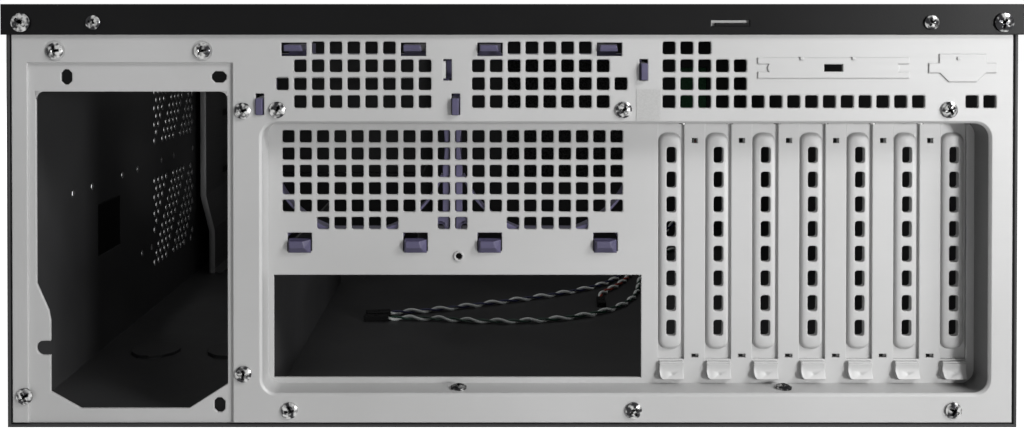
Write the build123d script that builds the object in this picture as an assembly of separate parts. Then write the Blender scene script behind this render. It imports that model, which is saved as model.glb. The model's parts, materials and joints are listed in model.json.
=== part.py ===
from build123d import *
import math
import os

# The case stands on its floor, the rear face looks along -Y and the origin is the middle of the underside.
body_width = 423.2
body_depth = 445.0
overall_height = 177.5
sheet = 1.2
fit = 0.3
overrun = 1.0

# Top cover
cover_side_gap = 0.6
cover_rear_gap = 0.2
cover_flange = 12.8
cover_corner = 3.0
cover_screw_drop = 7.7
cover_screw_x = [-204.8, -174.6, 174.6, 204.8]
cover_slit_x = 90.9
cover_slit_width = 16.1
cover_slit_height = 2.5
cover_slit_drop = 8.0

# Base pan
rim_width = 12.0
side_return = 8.0
lip_depth = 12.5
side_hole_depth = 97.0
side_hole_length = 32.0
side_hole_bottom = 50.6
side_hole_height = 27.0
side_plug_flange = 2.0
board_column_spacing = 281.94
board_row_spacing = 227.33
board_right_x = 190.5
board_first_row_depth = 30.5
board_hole_radius = 1.6
board_hole_sides = 8
emboss_radius = 12.5
emboss_sides = 12
emboss_rise = 1.5
emboss_depth = 99.0
emboss_x = [-181.0, -142.0]

# Rear panel and its drawn recess
panel_side_gap = 0.9
panel_bottom = 2.0
recess_left = -104.9
recess_right = 199.9
recess_bottom = 14.2
recess_drop = 50.0
recess_depth = 13.0
recess_corner = 6.0
recess_rim = 1.0
guide_hole_z = 69.2
guide_hole_radius = 1.5
guide_hole_sides = 8

# Input and output window
window_width = 158.75
window_height = 44.45
window_left = -102.6
window_bottom = 16.6

# Expansion slots
slot_count = 7
slot_pitch = 20.32
slot_first_x = 69.0
slot_width = 11.2
slot_bottom = 24.6
scoop_width = 10.2
scoop_height = 8.0
scoop_bottom = 15.9
scoop_rise = 1.4
scoop_corner = 2.0
web_hole_width = 2.5
web_hole_height = 2.1
web_hole_drop = 8.4
web_slot_width = 3.4
web_slot_height = 1.6
web_slot_z = 26.0

# Slot covers
bracket_width = 18.4
bracket_sheet = 0.9
bracket_tab_length = 11.0
bracket_bottom = 17.0
ridge_width = 9.8
ridge_rise = 1.3
ridge_bottom = 29.6
ridge_drop = 5.6
ridge_corner = 3.4
bracket_hole_width = 4.0
bracket_hole_share = 0.637
bracket_hole_count = 8
bracket_hole_drop = 14.6
bracket_hole_bottom = 38.2

# Vents. In each row an o is an open vent and a dot is plain sheet.
vent_pitch = 7.46
vent_row_pitch = 7.5
vent_size = 5.55
vent_margin = 8.0
fan_left_x = -66.4
fan_drop = 60.5
columns_before_fan_count = 4
columns_between_fans_count = 11
upper_row_drop = 18.3
left_field = ["..ooooo..", ".oooooooo", "ooooooooo", ".oooooooo"]
right_field = ["..ooooo..", "oooooooo.", "ooooooooo", "oooooooo."]
far_field_x = 65.6
far_field = ["ooo", "ooooo", "ooooo", "ooooooooooooooo..oo"]
recess_row_drop = 6.6
recess_field = 5 * ["oooooooooooooooooooo"] + ["..ooooo..oo..ooooo.."]

# Knock-outs that stay closed
knockout_rise = 0.4
long_knockout_x = 134.3
knockout_drop = 26.7
long_knockout_width = 51.0
long_knockout_height = 8.6
ear_reach = 6.2
ear_height = 2.6
bulge_radius = 2.3
bulge_sides = 8
bulge_reach = 2.2
knockout_slot_width = 7.9
knockout_slot_height = 3.1
dee_knockout_x = 188.4
dee_knockout_width = 19.7
dee_knockout_height = 11.6
dee_ear_reach = 4.4
dee_ear_height = 4.0

# Power supply opening
supply_width = 86.0
supply_drop = 24.5
supply_left = -203.0
supply_bottom = 3.0
supply_open_shares = [
    (0.036, 0.919),
    (0.036, 0.381),
    (0.094, 0.305),
    (0.103, 0.277),
    (0.103, 0.077),
    (0.249, 0.030),
    (0.780, 0.030),
    (0.971, 0.100),
    (0.971, 0.919),
]
supply_open_corner = 3.4
supply_plate_overlap = 5.0
supply_plate_top = 9.0
supply_plate_side = 8.5
supply_hole_width = 4.8
supply_hole_length = 6.4
supply_hole_corner = 1.5
supply_hole_spacing = 64.0
supply_hole_right = 80.0
supply_hole_bottom = 6.0
supply_notch_side = 6.0
supply_notch_bottom = 30.0
supply_notch_height = 6.1
supply_screw_shares = [(0.137, 1.033), (0.853, 1.033), (1.050, 0.866), (1.050, 0.130), (-0.016, 0.067)]

# Screws
screw_shank_radius = 1.6
screw_clearance = 0.15
screw_head_radius = 3.4
cover_head_radius = 3.7
screw_head_height = 1.8
screw_length = 6.0
screw_sides = 6
head_sides = 8
tie_screw_rise = 5.8
tie_screw_shares = [0.497, 0.944]
lip_screw_z = 7.2
lip_screw_shares = [0.038, 0.511, 0.951]
floor_screw_shares = [0.270, 0.724]
tie_width = 11.0
tie_plate_gap = 4.8
tie_top = 10.5
tie_foot = 2.4

# Fan holders, for fans of 80 mm
holder_outer = 79.0
holder_bore_radius = 38.0
holder_bore_sides = 28
holder_hole_sides = 8
holder_face = 2.0
holder_wall = 2.2
holder_depth = 13.0
holder_corner = 4.0
holder_hole_spacing = 71.5
holder_hole_radius = 2.1
clip_spacing = 50.0
clip_width = 9.6
clip_thickness = 3.2
clip_top_rise = 41.6
clip_bottom_drop = 41.7
clip_bottom_height = 7.0
clip_reach = 2.0
clip_slot_height = 5.6
clip_slot_side = 0.5
side_clip_height = 8.0
side_clip_width = 2.6
side_clip_left_rise = 18.6
side_clip_right_rise = 33.0
side_clip_offset = 38.0

# Divider beside the power supply
divider_length = 233.0
divider_height = 62.0
divider_foot = 10.0
divider_notch_length = 46.0
divider_notch_height = 34.0

# Drive cage with three bays
bay_count = 3
bay_width = 148.6
bay_height = 42.4
cage_sheet = 1.0
cage_left = -206.0
cage_depth = 172.0
cage_drop = 5.1
cage_joggle = 6.0
joggle_top = 54.7
joggle_bottom = 30.6
cage_foot = 9.0
cage_slot_length = 60.0
cage_slot_height = 5.0

# Front panel and bezel
bezel_depth = 14.0
bezel_wall = 2.5
bezel_side_gap = 0.4
bay_edge = 2.0
blank_fit = 0.4
blank_wall = 2.0
blank_depth = 9.0
blank_groove = 0.8
blank_groove_height = 1.2
vent_slot_count = 10
vent_slot_pitch = 10.5
vent_slot_width = 118.0
vent_slot_height = 5.0
vent_slot_x = 70.0
vent_slot_drop = 35.5
front_window_width = 124.0
front_window_height = 108.0
button_x = 170.0
power_z = 128.0
power_radius = 6.5
reset_z = 106.0
reset_radius = 3.0
button_proud = 1.5
button_flange = 1.4
button_flange_depth = 1.5
button_fit = 0.3
button_sides = 16
lens_radius = 1.75
lens_sides = 8
lens_z = [92.0, 84.0]
lens_proud = 0.6
board_width = 24.0
board_height = 64.0
board_thickness = 1.6
switch_size = 6.0
switch_depth = 3.6
plunger_gap = 1.8
header_width = 18.0
header_height = 5.0
header_depth = 3.0
header_z = 79.0
filter_thickness = 5.0
filter_overlap = 3.0

# Rack ears and handles
rack_width = 482.6
ear_sheet = 2.5
ear_leg = 42.0
ear_bottom = 0.5
ear_slot_spacing = 101.6
ear_slot_span = 465.1
ear_slot_height = 7.0
ear_slot_length = 10.5
handle_bar = 8.0
handle_reach = 30.0
handle_height = 100.0
handle_inset = 7.0

# Front-panel leads, as points of x, depth from the rear face, and height
lead_diameter = 2.4
lead_radius = lead_diameter / 2
lead_sides = 4
lead_arc_share = 0.45
plug_length = 14.0
plug_width = 5.2
plug_height = 2.9
lead_routes = {
    "lead_blue": [
        (-66, 167, 2.7),
        (-44, 171, 2.7),
        (-20, 182, 2.7),
        (8, 195, 2.7),
        (40, 212, 2.7),
        (66, 232, 2.7),
        (84, 262, 2.7),
        (94, 300, 2.7),
        (104, 340, 2.7),
        (122, 374, 2.7),
        (142, 396, 9),
        (154, 412, 26),
        (160, 424, 46),
        (162, 431, 62),
        (163, 437, 74),
        (164, 444.7, 79),
    ],
    "lead_green": [
        (-66, 156, 2.7),
        (-42, 156, 2.7),
        (-16, 149, 2.7),
        (14, 149, 2.7),
        (44, 158, 2.7),
        (70, 178, 2.7),
        (86, 210, 2.7),
        (92, 246, 2.7),
        (104, 286, 2.7),
        (118, 322, 2.7),
        (138, 350, 2.7),
        (158, 374, 2.7),
        (168, 398, 12),
        (173, 414, 30),
        (175, 425, 48),
        (176, 432, 64),
        (176, 438, 75),
        (176, 444.7, 79),
    ],
    "lead_red": [
        (61, 198, 2.7),
        (62, 211, 2.7),
        (70, 222, 2.7),
        (78, 236, 2.7),
        (87, 256, 2.7),
        (98, 292, 2.7),
        (111, 331, 2.7),
        (130, 362, 2.7),
        (150, 386, 8),
        (161, 404, 22),
        (167, 418, 40),
        (169, 427, 56),
        (170, 433, 69),
        (170, 438, 76),
        (170, 444.7, 79),
    ],
}

half_width = body_width / 2
rear_y = -body_depth / 2
front_y = body_depth / 2
cover_under = overall_height - sheet
wall_top = cover_under - fit
flange_bottom = overall_height - cover_flange
panel_half = half_width - sheet - panel_side_gap
panel_back_y = rear_y + sheet
recess_top = overall_height - recess_drop
recess_y = rear_y + recess_depth
recess_back_y = recess_y + sheet
recess_width = recess_right - recess_left
recess_x = (recess_left + recess_right) / 2
recess_height = recess_top - recess_bottom
recess_z = (recess_bottom + recess_top) / 2
shelf_z = recess_top + sheet
web_hole_z = recess_top - web_hole_drop
ridge_top = recess_top - ridge_drop
bracket_hole_top = recess_top - bracket_hole_drop
bracket_hole_pitch = (bracket_hole_top - bracket_hole_bottom) / (bracket_hole_count - 1)
bracket_hole_height = bracket_hole_share * bracket_hole_pitch
upper_row_z = overall_height - upper_row_drop
recess_row_z = recess_top - recess_row_drop
recess_row_count = 1 + math.floor((recess_row_z - window_bottom - window_height - vent_margin) / vent_row_pitch)
knockout_z = overall_height - knockout_drop
fan_z = overall_height - fan_drop
clip_top_z = fan_z + clip_top_rise
clip_bottom_z = fan_z - clip_bottom_drop
side_clips = [(-1, fan_z + side_clip_left_rise), (1, fan_z + side_clip_right_rise)]
fan_right_x = fan_left_x + columns_between_fans_count * vent_pitch
fan_centres = [fan_left_x, fan_right_x]
vent_first_x = fan_left_x - columns_before_fan_count * vent_pitch
supply_height = overall_height - supply_drop - supply_bottom
supply_hole_rise = supply_height - 2 * supply_hole_bottom
cage_top = overall_height - cage_drop
vent_slot_top = overall_height - vent_slot_drop
slot_centres = [slot_first_x + slot_pitch * index for index in range(slot_count)]
web_centres = [slot_first_x + slot_pitch * (index + 1 / 2) for index in range(slot_count - 1)]
cover_screw_z = overall_height - cover_screw_drop
cover_front_y = front_y - ear_sheet - overrun
plate_right = supply_left + supply_width + supply_plate_side
lip_left = plate_right + fit
lip_top = recess_bottom - sheet
cage_rear_y = front_y - sheet - fit - cage_depth
cage_right = cage_left + bay_width + 2 * cage_sheet
bay_x = (cage_left + cage_right) / 2
bay_stack = bay_count * bay_height
bay_bottom = cage_top - cage_sheet - bay_stack
supply_screws = [
    (supply_left + across * supply_width, supply_bottom + up * supply_height)
    for across, up in supply_screw_shares
]
tie_x = [plate_right + tie_plate_gap + tie_width / 2]
tie_x += [recess_left + share * recess_width for share in tie_screw_shares]
tie_screws = [(x, recess_top + tie_screw_rise) for x in tie_x]
lip_screws = [(recess_left + share * recess_width, lip_screw_z) for share in lip_screw_shares]
cover_screws = [(x, cover_screw_z) for x in cover_screw_x]
bezel_front_y = front_y + bezel_depth
bezel_back_y = bezel_front_y - bezel_wall


def block(x0, x1, y0, y1, z0, z1):
    """A block between two corners."""
    return Pos((x0 + x1) / 2, (y0 + y1) / 2, (z0 + z1) / 2) * Box(x1 - x0, y1 - y0, z1 - z0)


def upright(sketch, y0, y1):
    """A sketch drawn in x and z, standing between two places along y."""
    return extrude(Plane(origin=(0, y1, 0), x_dir=(1, 0, 0), z_dir=(0, -1, 0)) * sketch, y1 - y0)


def rectangle(x0, x1, z0, z1):
    """A rectangle between two corners, for upright()."""
    return Pos((x0 + x1) / 2, (z0 + z1) / 2) * Rectangle(x1 - x0, z1 - z0)


def spots(shape, places):
    """One copy of a sketch at each place."""
    return [Pos(x, z) * shape for x, z in places]


def punch(solid, sketches, y0, y1):
    """Cuts sketches through a sheet that stands between y0 and y1."""
    return solid - [upright(sketch, y0 - overrun, y1 + overrun) for sketch in sketches]


def round_screws(places, head_y, head_radius, length):
    """Screws whose heads sit on the side of head_y that faces the rear."""
    shank = RegularPolygon(screw_shank_radius, screw_sides)
    head = RegularPolygon(head_radius, head_sides)
    return Compound(
        [
            upright(Pos(x, z) * head, head_y - screw_head_height, head_y)
            + upright(Pos(x, z) * shank, head_y, head_y + length)
            for x, z in places
        ]
    )


def clearance_hole():
    """The hole that a screw passes."""
    return RegularPolygon(screw_shank_radius + screw_clearance, screw_sides)


def vent_places(first_x, top_z, rows):
    """The centre of each open vent of a field."""
    return [
        (first_x + column * vent_pitch, top_z - row * vent_row_pitch)
        for row, marks in enumerate(rows)
        for column, mark in enumerate(marks)
        if mark == "o"
    ]


def base_pan():
    """Floor and side walls, folded from one sheet, with a boxed lip under the recess."""
    wall_inner = half_width - sheet
    pan = block(-half_width, half_width, rear_y, front_y, 0, sheet)
    for side in (-1, 1):
        inner, outer = sorted((side * wall_inner, side * half_width))
        pan += block(inner, outer, rear_y, front_y, 0, wall_top)
        inner, outer = sorted((side * (half_width - rim_width), side * half_width))
        pan += block(inner, outer, panel_back_y + fit, front_y - rim_width, wall_top - sheet, wall_top)
        return_y = rear_y + sheet * (2 if side < 0 else 1)
        inner, outer = sorted((side * (wall_inner - side_return), side * wall_inner))
        pan += block(inner, outer, return_y, return_y + sheet, sheet, flange_bottom)
    pan += block(lip_left, wall_inner, panel_back_y, panel_back_y + sheet, sheet, lip_top)
    pan += block(lip_left, wall_inner, panel_back_y, rear_y + lip_depth, lip_top - sheet, lip_top)
    for x in emboss_x:
        pan += Pos(x, rear_y + emboss_depth, sheet) * extrude(RegularPolygon(emboss_radius, emboss_sides), emboss_rise)
    hole_z0, hole_z1 = side_hole_bottom, side_hole_bottom + side_hole_height
    hole_y0 = rear_y + side_hole_depth
    pan -= block(-half_width - overrun, overrun - wall_inner, hole_y0, hole_y0 + side_hole_length, hole_z0, hole_z1)
    hole = extrude(RegularPolygon(board_hole_radius, board_hole_sides), sheet + 2 * overrun)
    for x in (board_right_x, board_right_x - board_column_spacing):
        for back in (0, board_row_spacing):
            pan -= Pos(x, rear_y + board_first_row_depth + back, -overrun) * hole
    holes = spots(clearance_hole(), lip_screws + [supply_screws[-1]])
    pan = punch(pan, holes, panel_back_y, panel_back_y + 2 * sheet)
    for x in floor_screw_places():
        hole = Pos(x, rear_y + recess_depth / 2, lip_top - sheet - overrun)
        pan -= hole * extrude(clearance_hole(), sheet + 2 * overrun)
    return pan


def side_plug():
    """The plain plug that closes the rectangular hole of the left wall."""
    hole_y0, hole_z0 = rear_y + side_hole_depth + fit, side_hole_bottom + fit
    hole_y1, hole_z1 = hole_y0 + side_hole_length - 2 * fit, hole_z0 + side_hole_height - 2 * fit
    plug_body = block(-half_width, sheet - half_width, hole_y0, hole_y1, hole_z0, hole_z1)
    edge = side_plug_flange
    return plug_body + block(
        -half_width - cover_side_gap, -half_width, hole_y0 - edge, hole_y1 + edge, hole_z0 - edge, hole_z1 + edge
    )


def floor_screw_places():
    """Where the recess's bottom wall is screwed to the lip."""
    return [recess_left + share * recess_width for share in floor_screw_shares]


def scoop(x):
    """The lanced pocket that takes the foot of a slot cover."""
    shape = rectangle(x - scoop_width / 2, x + scoop_width / 2, scoop_bottom, scoop_bottom + scoop_height)
    lower = shape.vertices().sort_by(Axis.Y)[:2]
    return upright(fillet(lower.sort_by(Axis.X)[0], scoop_corner), recess_y - scoop_rise, recess_y)


def long_knockout():
    """The outline of the long closed knock-out, with two ears at each end."""
    shape = Rectangle(long_knockout_width, long_knockout_height)
    ear_z = (long_knockout_height - ear_height) / 2
    for side in (-1, 1):
        for up in (-1, 1):
            shape += Pos(side * (long_knockout_width + ear_reach) / 2, up * ear_z) * Rectangle(ear_reach, ear_height)
        middle = side * (long_knockout_width / 2 + bulge_reach - bulge_radius)
        shape += Pos(middle, 0) * RegularPolygon(bulge_radius, bulge_sides)
    return Pos(long_knockout_x, knockout_z) * shape


def dee_knockout():
    """The outline of the small closed knock-out, with a screw ear on each side."""
    shape = Rectangle(dee_knockout_width, dee_knockout_height)
    shape = chamfer(shape.vertices().group_by(Axis.Y)[0], dee_ear_height)
    shape += Rectangle(dee_knockout_width + 2 * dee_ear_reach, dee_ear_height)
    return Pos(dee_knockout_x, knockout_z) * shape


def clip_slots(x):
    """The slots in the upper and in the recessed sheet that a fan holder snaps into."""
    wide = clip_width + 2 * clip_slot_side
    top = [Pos(x + side * clip_spacing / 2, clip_top_z) * Rectangle(wide, clip_slot_height) for side in (-1, 1)]
    sides = [
        Pos(x + side * (side_clip_offset + side_clip_width / 2), z)
        * Rectangle(side_clip_width + 2 * clip_slot_side, side_clip_height + 2 * clip_slot_side)
        for side, z in side_clips
    ]
    bottom = [
        Pos(x + side * clip_spacing / 2, clip_bottom_z) * Rectangle(wide, clip_bottom_height + 2 * clip_slot_side)
        for side in (-1, 1)
    ]
    return top + sides, bottom


def recess_outline(wall):
    """The rounded outline of the recess, with a wall's thickness round it."""
    outline = RectangleRounded(recess_width + 2 * wall, recess_height + 2 * wall, recess_corner + wall)
    return Pos(recess_x, recess_z) * outline


def rear_panel():
    """The upper sheet of the stamped rear panel, with its top flange and two closed knock-outs."""
    outline = rectangle(-panel_half, panel_half, panel_bottom, wall_top)
    panel = upright(outline - recess_outline(0), rear_y, panel_back_y)
    mouth = panel.edges().group_by(Axis.Y)[0].filter_by(
        lambda edge: recess_left - fit < edge.center().X < recess_right + fit
        and recess_bottom - fit < edge.center().Z < recess_top + fit
    )
    panel = chamfer(mouth, recess_rim)
    top_half = panel_half - rim_width
    panel += block(-top_half, top_half, rear_y, rear_y + rim_width, wall_top - sheet, wall_top)
    for shape in (long_knockout(), dee_knockout()):
        panel += upright(shape, rear_y - knockout_rise, rear_y)
    supply = rectangle(
        supply_left, supply_left + supply_width, panel_bottom - overrun, supply_bottom + supply_height
    )
    left, right = (
        vent_places(vent_first_x, upper_row_z, left_field),
        vent_places(vent_first_x + columns_between_fans_count * vent_pitch, upper_row_z, right_field),
    )
    far = vent_places(far_field_x, upper_row_z, far_field)
    cuts = [supply] + spots(Rectangle(vent_size, vent_size), left + right + far)
    cuts += spots(clearance_hole(), supply_screws + tie_screws + lip_screws + cover_screws)
    cuts.append(Pos(long_knockout_x, knockout_z) * Rectangle(knockout_slot_width, knockout_slot_height))
    for x in fan_centres:
        cuts += clip_slots(x)[0]
    return punch(panel, cuts, rear_y, panel_back_y)


def recess_walls():
    """The four drawn walls of the recess, from the upper sheet back to the recessed one."""
    walls = upright(recess_outline(sheet) - recess_outline(0), panel_back_y, recess_y)
    for x in floor_screw_places():
        hole = Pos(x, rear_y + recess_depth / 2, recess_bottom - sheet - overrun)
        walls -= hole * extrude(clearance_hole(), sheet + 2 * overrun)
    return walls


def recess_panel():
    """The recessed sheet, with the window, the slot openings, their scoops and the fan vents."""
    panel = upright(recess_outline(sheet), recess_y, recess_back_y)
    for x in slot_centres:
        panel += scoop(x)
    rows = recess_field[:recess_row_count]
    cuts = spots(Rectangle(vent_size, vent_size), vent_places(vent_first_x, recess_row_z, rows))
    cuts.append(rectangle(window_left, window_left + window_width, window_bottom, window_bottom + window_height))
    for x in slot_centres:
        cuts.append(rectangle(x - slot_width / 2, x + slot_width / 2, slot_bottom, recess_top - recess_rim))
    for x in web_centres:
        cuts.append(Pos(x, web_hole_z) * Rectangle(web_hole_width, web_hole_height))
        cuts.append(Pos(x, web_slot_z) * Rectangle(web_slot_width, web_slot_height))
    for x in fan_centres:
        cuts += clip_slots(x)[1]
    cuts.append(Pos(floor_screw_places()[0], guide_hole_z) * RegularPolygon(guide_hole_radius, guide_hole_sides))
    return punch(panel, cuts, recess_y, recess_back_y)


def supply_opening():
    """The opening for a power supply, with the notch at its fourth screw."""
    points = [
        (supply_left + across * supply_width, supply_bottom + up * supply_height)
        for across, up in supply_open_shares
    ]
    shape = make_face(Polyline(*points, close=True))
    shape = chamfer(shape.vertices().group_by(Axis.Y)[-1], supply_open_corner / 2)
    reach = supply_open_shares[3][0] * supply_width - supply_notch_side
    notch = SlotCenterToCenter(2 * reach, supply_notch_height)
    return shape + Pos(supply_left + supply_notch_side + reach, supply_bottom + supply_notch_bottom) * notch


def supply_holes():
    """The three slotted holes for the power supply's screws."""
    right = supply_left + supply_hole_right
    low = supply_bottom + supply_hole_bottom
    high = low + supply_hole_rise
    tall = chamfer(Rectangle(supply_hole_width, supply_hole_length).vertices(), supply_hole_corner)
    wide = chamfer(Rectangle(supply_hole_length, supply_hole_width).vertices(), supply_hole_corner)
    places = [(right - supply_hole_spacing, high, tall), (right, high, wide), (right, low, tall)]
    return [Pos(x, z) * shape for x, z, shape in places]


def supply_plate():
    """The plate that takes the power supply, behind the panel's opening."""
    outline = rectangle(
        supply_left - supply_plate_overlap, plate_right, sheet + fit, supply_bottom + supply_height + supply_plate_top
    )
    plate = upright(outline, panel_back_y, panel_back_y + sheet)
    cuts = [supply_opening()] + supply_holes()
    cuts += spots(clearance_hole(), supply_screws)
    return punch(plate, cuts, panel_back_y, panel_back_y + sheet)


def top_cover():
    """Shallow folded lid with flanges at both sides and at the rear."""
    inner = half_width + cover_side_gap
    outer = inner + sheet
    back = rear_y - cover_rear_gap
    cover = block(-outer, outer, back - sheet, cover_front_y, cover_under, overall_height)
    for side in (-1, 1):
        low, high = sorted((side * inner, side * outer))
        cover += block(low, high, back - sheet, cover_front_y, flange_bottom, overall_height)
    rear = rectangle(-outer, outer, flange_bottom, overall_height)
    rear = chamfer(rear.vertices().group_by(Axis.Y)[0], cover_corner / 2)
    cover += upright(rear, back - sheet, back)
    slit = Pos(cover_slit_x, overall_height - cover_slit_drop) * Rectangle(cover_slit_width, cover_slit_height)
    return punch(cover, [slit] + spots(clearance_hole(), cover_screws), back - sheet, back)


def recess_screws():
    """The two screws down through the recess's bottom wall."""
    head = RegularPolygon(screw_head_radius, head_sides)
    shank = RegularPolygon(screw_shank_radius, screw_sides)
    screws = []
    for x in floor_screw_places():
        place = Pos(x, rear_y + recess_depth / 2, recess_bottom)
        screws.append(place * (extrude(head, screw_head_height) + extrude(shank, -screw_length)))
    return Compound(screws)


def tie_brackets():
    """Small angles that tie the upper sheet to the recess's top wall."""
    ties = []
    for x, z in tie_screws:
        leg = block(
            x - tie_width / 2, x + tie_width / 2, panel_back_y, panel_back_y + sheet, shelf_z, shelf_z + tie_top
        )
        foot = block(
            x - tie_width / 2, x + tie_width / 2, panel_back_y, panel_back_y + tie_foot, shelf_z, shelf_z + sheet
        )
        hole = [Pos(x, z) * clearance_hole()]
        ties.append(punch(leg + foot, hole, panel_back_y, panel_back_y + tie_foot))
    return Compound(ties)


def slot_cover(x):
    """A perforated cover behind one slot opening, with a pressed ridge and a tab on the shelf."""
    back = recess_back_y + bracket_sheet
    tab_top = shelf_z + bracket_sheet
    cover = block(x - bracket_width / 2, x + bracket_width / 2, recess_back_y, back, bracket_bottom, tab_top)
    cover += block(
        x - bracket_width / 2, x + bracket_width / 2, back - bracket_tab_length, back, shelf_z, tab_top
    )
    ridge = rectangle(x - ridge_width / 2, x + ridge_width / 2, ridge_bottom, ridge_top)
    cover += upright(chamfer(ridge.vertices(), ridge_corner), recess_back_y - ridge_rise, recess_back_y)
    holes = [(x, bracket_hole_top - bracket_hole_pitch * index) for index in range(bracket_hole_count)]
    return punch(cover, spots(Rectangle(bracket_hole_width, bracket_hole_height), holes), recess_y - overrun, back)


def fan_holder(x):
    """A snap-in frame that carries an 80 mm fan behind the vents."""
    front = recess_back_y
    back = front + holder_depth
    outline = Pos(x, fan_z) * chamfer(Rectangle(holder_outer, holder_outer).vertices(), holder_corner / 2)
    inside = holder_outer - 2 * holder_wall
    inner = Pos(x, fan_z) * Rectangle(inside, inside)
    holder = upright(outline, front, back) - upright(inner, front + holder_face, back + overrun)
    spacing = holder_hole_spacing / 2
    corners = [(x + sx * spacing, fan_z + sz * spacing) for sx in (-1, 1) for sz in (-1, 1)]
    cuts = [Pos(x, fan_z) * RegularPolygon(holder_bore_radius, holder_bore_sides)]
    cuts += spots(RegularPolygon(holder_hole_radius, holder_hole_sides), corners)
    holder = punch(holder, cuts, front, front + holder_face)
    arm_top = fan_z + holder_outer / 2
    for side in (-1, 1):
        arm_x = x + side * clip_spacing / 2
        low, high = arm_x - clip_width / 2, arm_x + clip_width / 2
        top = clip_top_z + clip_slot_height / 2 - clip_slot_side
        holder += block(low, high, front, back, arm_top - holder_wall, top)
        holder += block(low, high, rear_y - clip_reach, front, top - clip_thickness, top)
        low_z = clip_bottom_z - clip_bottom_height / 2
        holder += block(low, high, recess_y - clip_reach, front + holder_face, low_z, low_z + clip_thickness)
        holder += block(low, high, front, front + holder_face, low_z, arm_top - holder_outer + holder_wall)
        holder += block(low, high, recess_y - clip_reach, recess_y, low_z, low_z + clip_bottom_height)
    for side, z in side_clips:
        ends = sorted((x + side * side_clip_offset, x + side * (side_clip_offset + side_clip_width)))
        low, high = z - side_clip_height / 2, z + side_clip_height / 2
        holder += block(ends[0], ends[1], rear_y - clip_reach, front + holder_face, low, high)
    return holder


def supply_divider():
    """The low wall between the power supply and the motherboard."""
    y0 = recess_back_y + fit
    y1 = y0 + divider_length
    x0 = recess_left - 2 * sheet
    wall = block(x0, x0 + sheet, y0, y1, sheet, divider_height)
    wall += block(x0 - divider_foot, x0 + sheet, y0, y1, sheet, 2 * sheet)
    notch_y = y1 - divider_notch_length
    return wall - block(x0 - overrun, x0 + sheet + overrun, notch_y, y1 + overrun, divider_notch_height, cage_top)


def drive_cage():
    """Folded cage with three bays, its left wall joggled inwards below them."""
    outer = [
        (cage_left, cage_top),
        (cage_left, joggle_top),
        (cage_left + cage_joggle, joggle_bottom),
        (cage_left + cage_joggle, sheet),
    ]
    inner = [(x + cage_sheet, z) for x, z in outer]
    left = make_face(Polyline(*outer, *reversed(inner), close=True))
    front = front_y - sheet - fit
    cage = upright(left, cage_rear_y, front)
    cage += block(cage_right - cage_sheet, cage_right, cage_rear_y, front, sheet, cage_top)
    cage += block(cage_left, cage_right, cage_rear_y, front, cage_top - cage_sheet, cage_top)
    foot_x = cage_left + cage_joggle
    cage += block(foot_x, foot_x + cage_foot, cage_rear_y, front, sheet, sheet + cage_sheet)
    cage += block(cage_right - cage_foot, cage_right, cage_rear_y, front, sheet, sheet + cage_sheet)
    for bay in range(bay_count):
        z = bay_bottom + bay_height * (bay + 1 / 2)
        y = (cage_rear_y + front) / 2
        slot = (y - cage_slot_length / 2, y + cage_slot_length / 2, z - cage_slot_height / 2, z + cage_slot_height / 2)
        cage -= block(cage_left - overrun, cage_right + overrun, *slot)
    return cage


def front_panel():
    """The steel front behind the bezel, with flanges that meet the pan and the cover."""
    wide = half_width - sheet
    back = front_y - rim_width
    panel = block(-wide, wide, front_y - sheet, front_y, sheet, wall_top)
    panel += block(-wide, wide, back, front_y, sheet, 2 * sheet)
    panel += block(-wide, wide, back, front_y, wall_top - sheet, wall_top)
    panel -= block(cage_left - fit, cage_right + fit, back - overrun, front_y - sheet, 0, 3 * sheet)
    vent_z = vent_slot_top - (vent_slot_count - 1) * vent_slot_pitch / 2
    board_z = (power_z + min(lens_z)) / 2
    cuts = [
        rectangle(cage_left + cage_sheet, cage_right - cage_sheet, bay_bottom, cage_top - cage_sheet),
        Pos(vent_slot_x, vent_z) * Rectangle(front_window_width, front_window_height),
        Pos(button_x, board_z) * Rectangle(board_width + 2 * fit, board_height + 2 * fit),
    ]
    return punch(panel, cuts, front_y - sheet, front_y)


def front_bezel():
    """Moulded front with the bay opening, cooling slots, button holes and lens holes."""
    half = half_width - bezel_side_gap
    bezel = block(-half, half, front_y, bezel_front_y, 0, overall_height)
    cavity = half - bezel_wall
    bezel -= block(-cavity, cavity, front_y - overrun, bezel_back_y, bezel_wall, overall_height - bezel_wall)
    bezel += block(-half + ear_sheet, half - ear_sheet, cover_front_y + fit, front_y, cover_under, overall_height)
    edge = [edge for edge in bezel.edges().filter_by(Axis.X).group_by(Axis.Y)[-1]]
    bezel = chamfer(edge, bezel_wall / 2)
    cuts = [rectangle(bay_x - bay_width / 2, bay_x + bay_width / 2, bay_bottom, bay_bottom + bay_stack)]
    for index in range(vent_slot_count):
        z = vent_slot_top - vent_slot_pitch * index
        cuts.append(Pos(vent_slot_x, z) * Rectangle(vent_slot_width, vent_slot_height))
    for z, radius in ((power_z, power_radius), (reset_z, reset_radius)):
        cuts.append(Pos(button_x, z) * RegularPolygon(radius + button_fit, button_sides))
    cuts += [Pos(button_x, z) * RegularPolygon(lens_radius + button_fit / 2, lens_sides) for z in lens_z]
    return punch(bezel, cuts, bezel_back_y, bezel_front_y)


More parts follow.
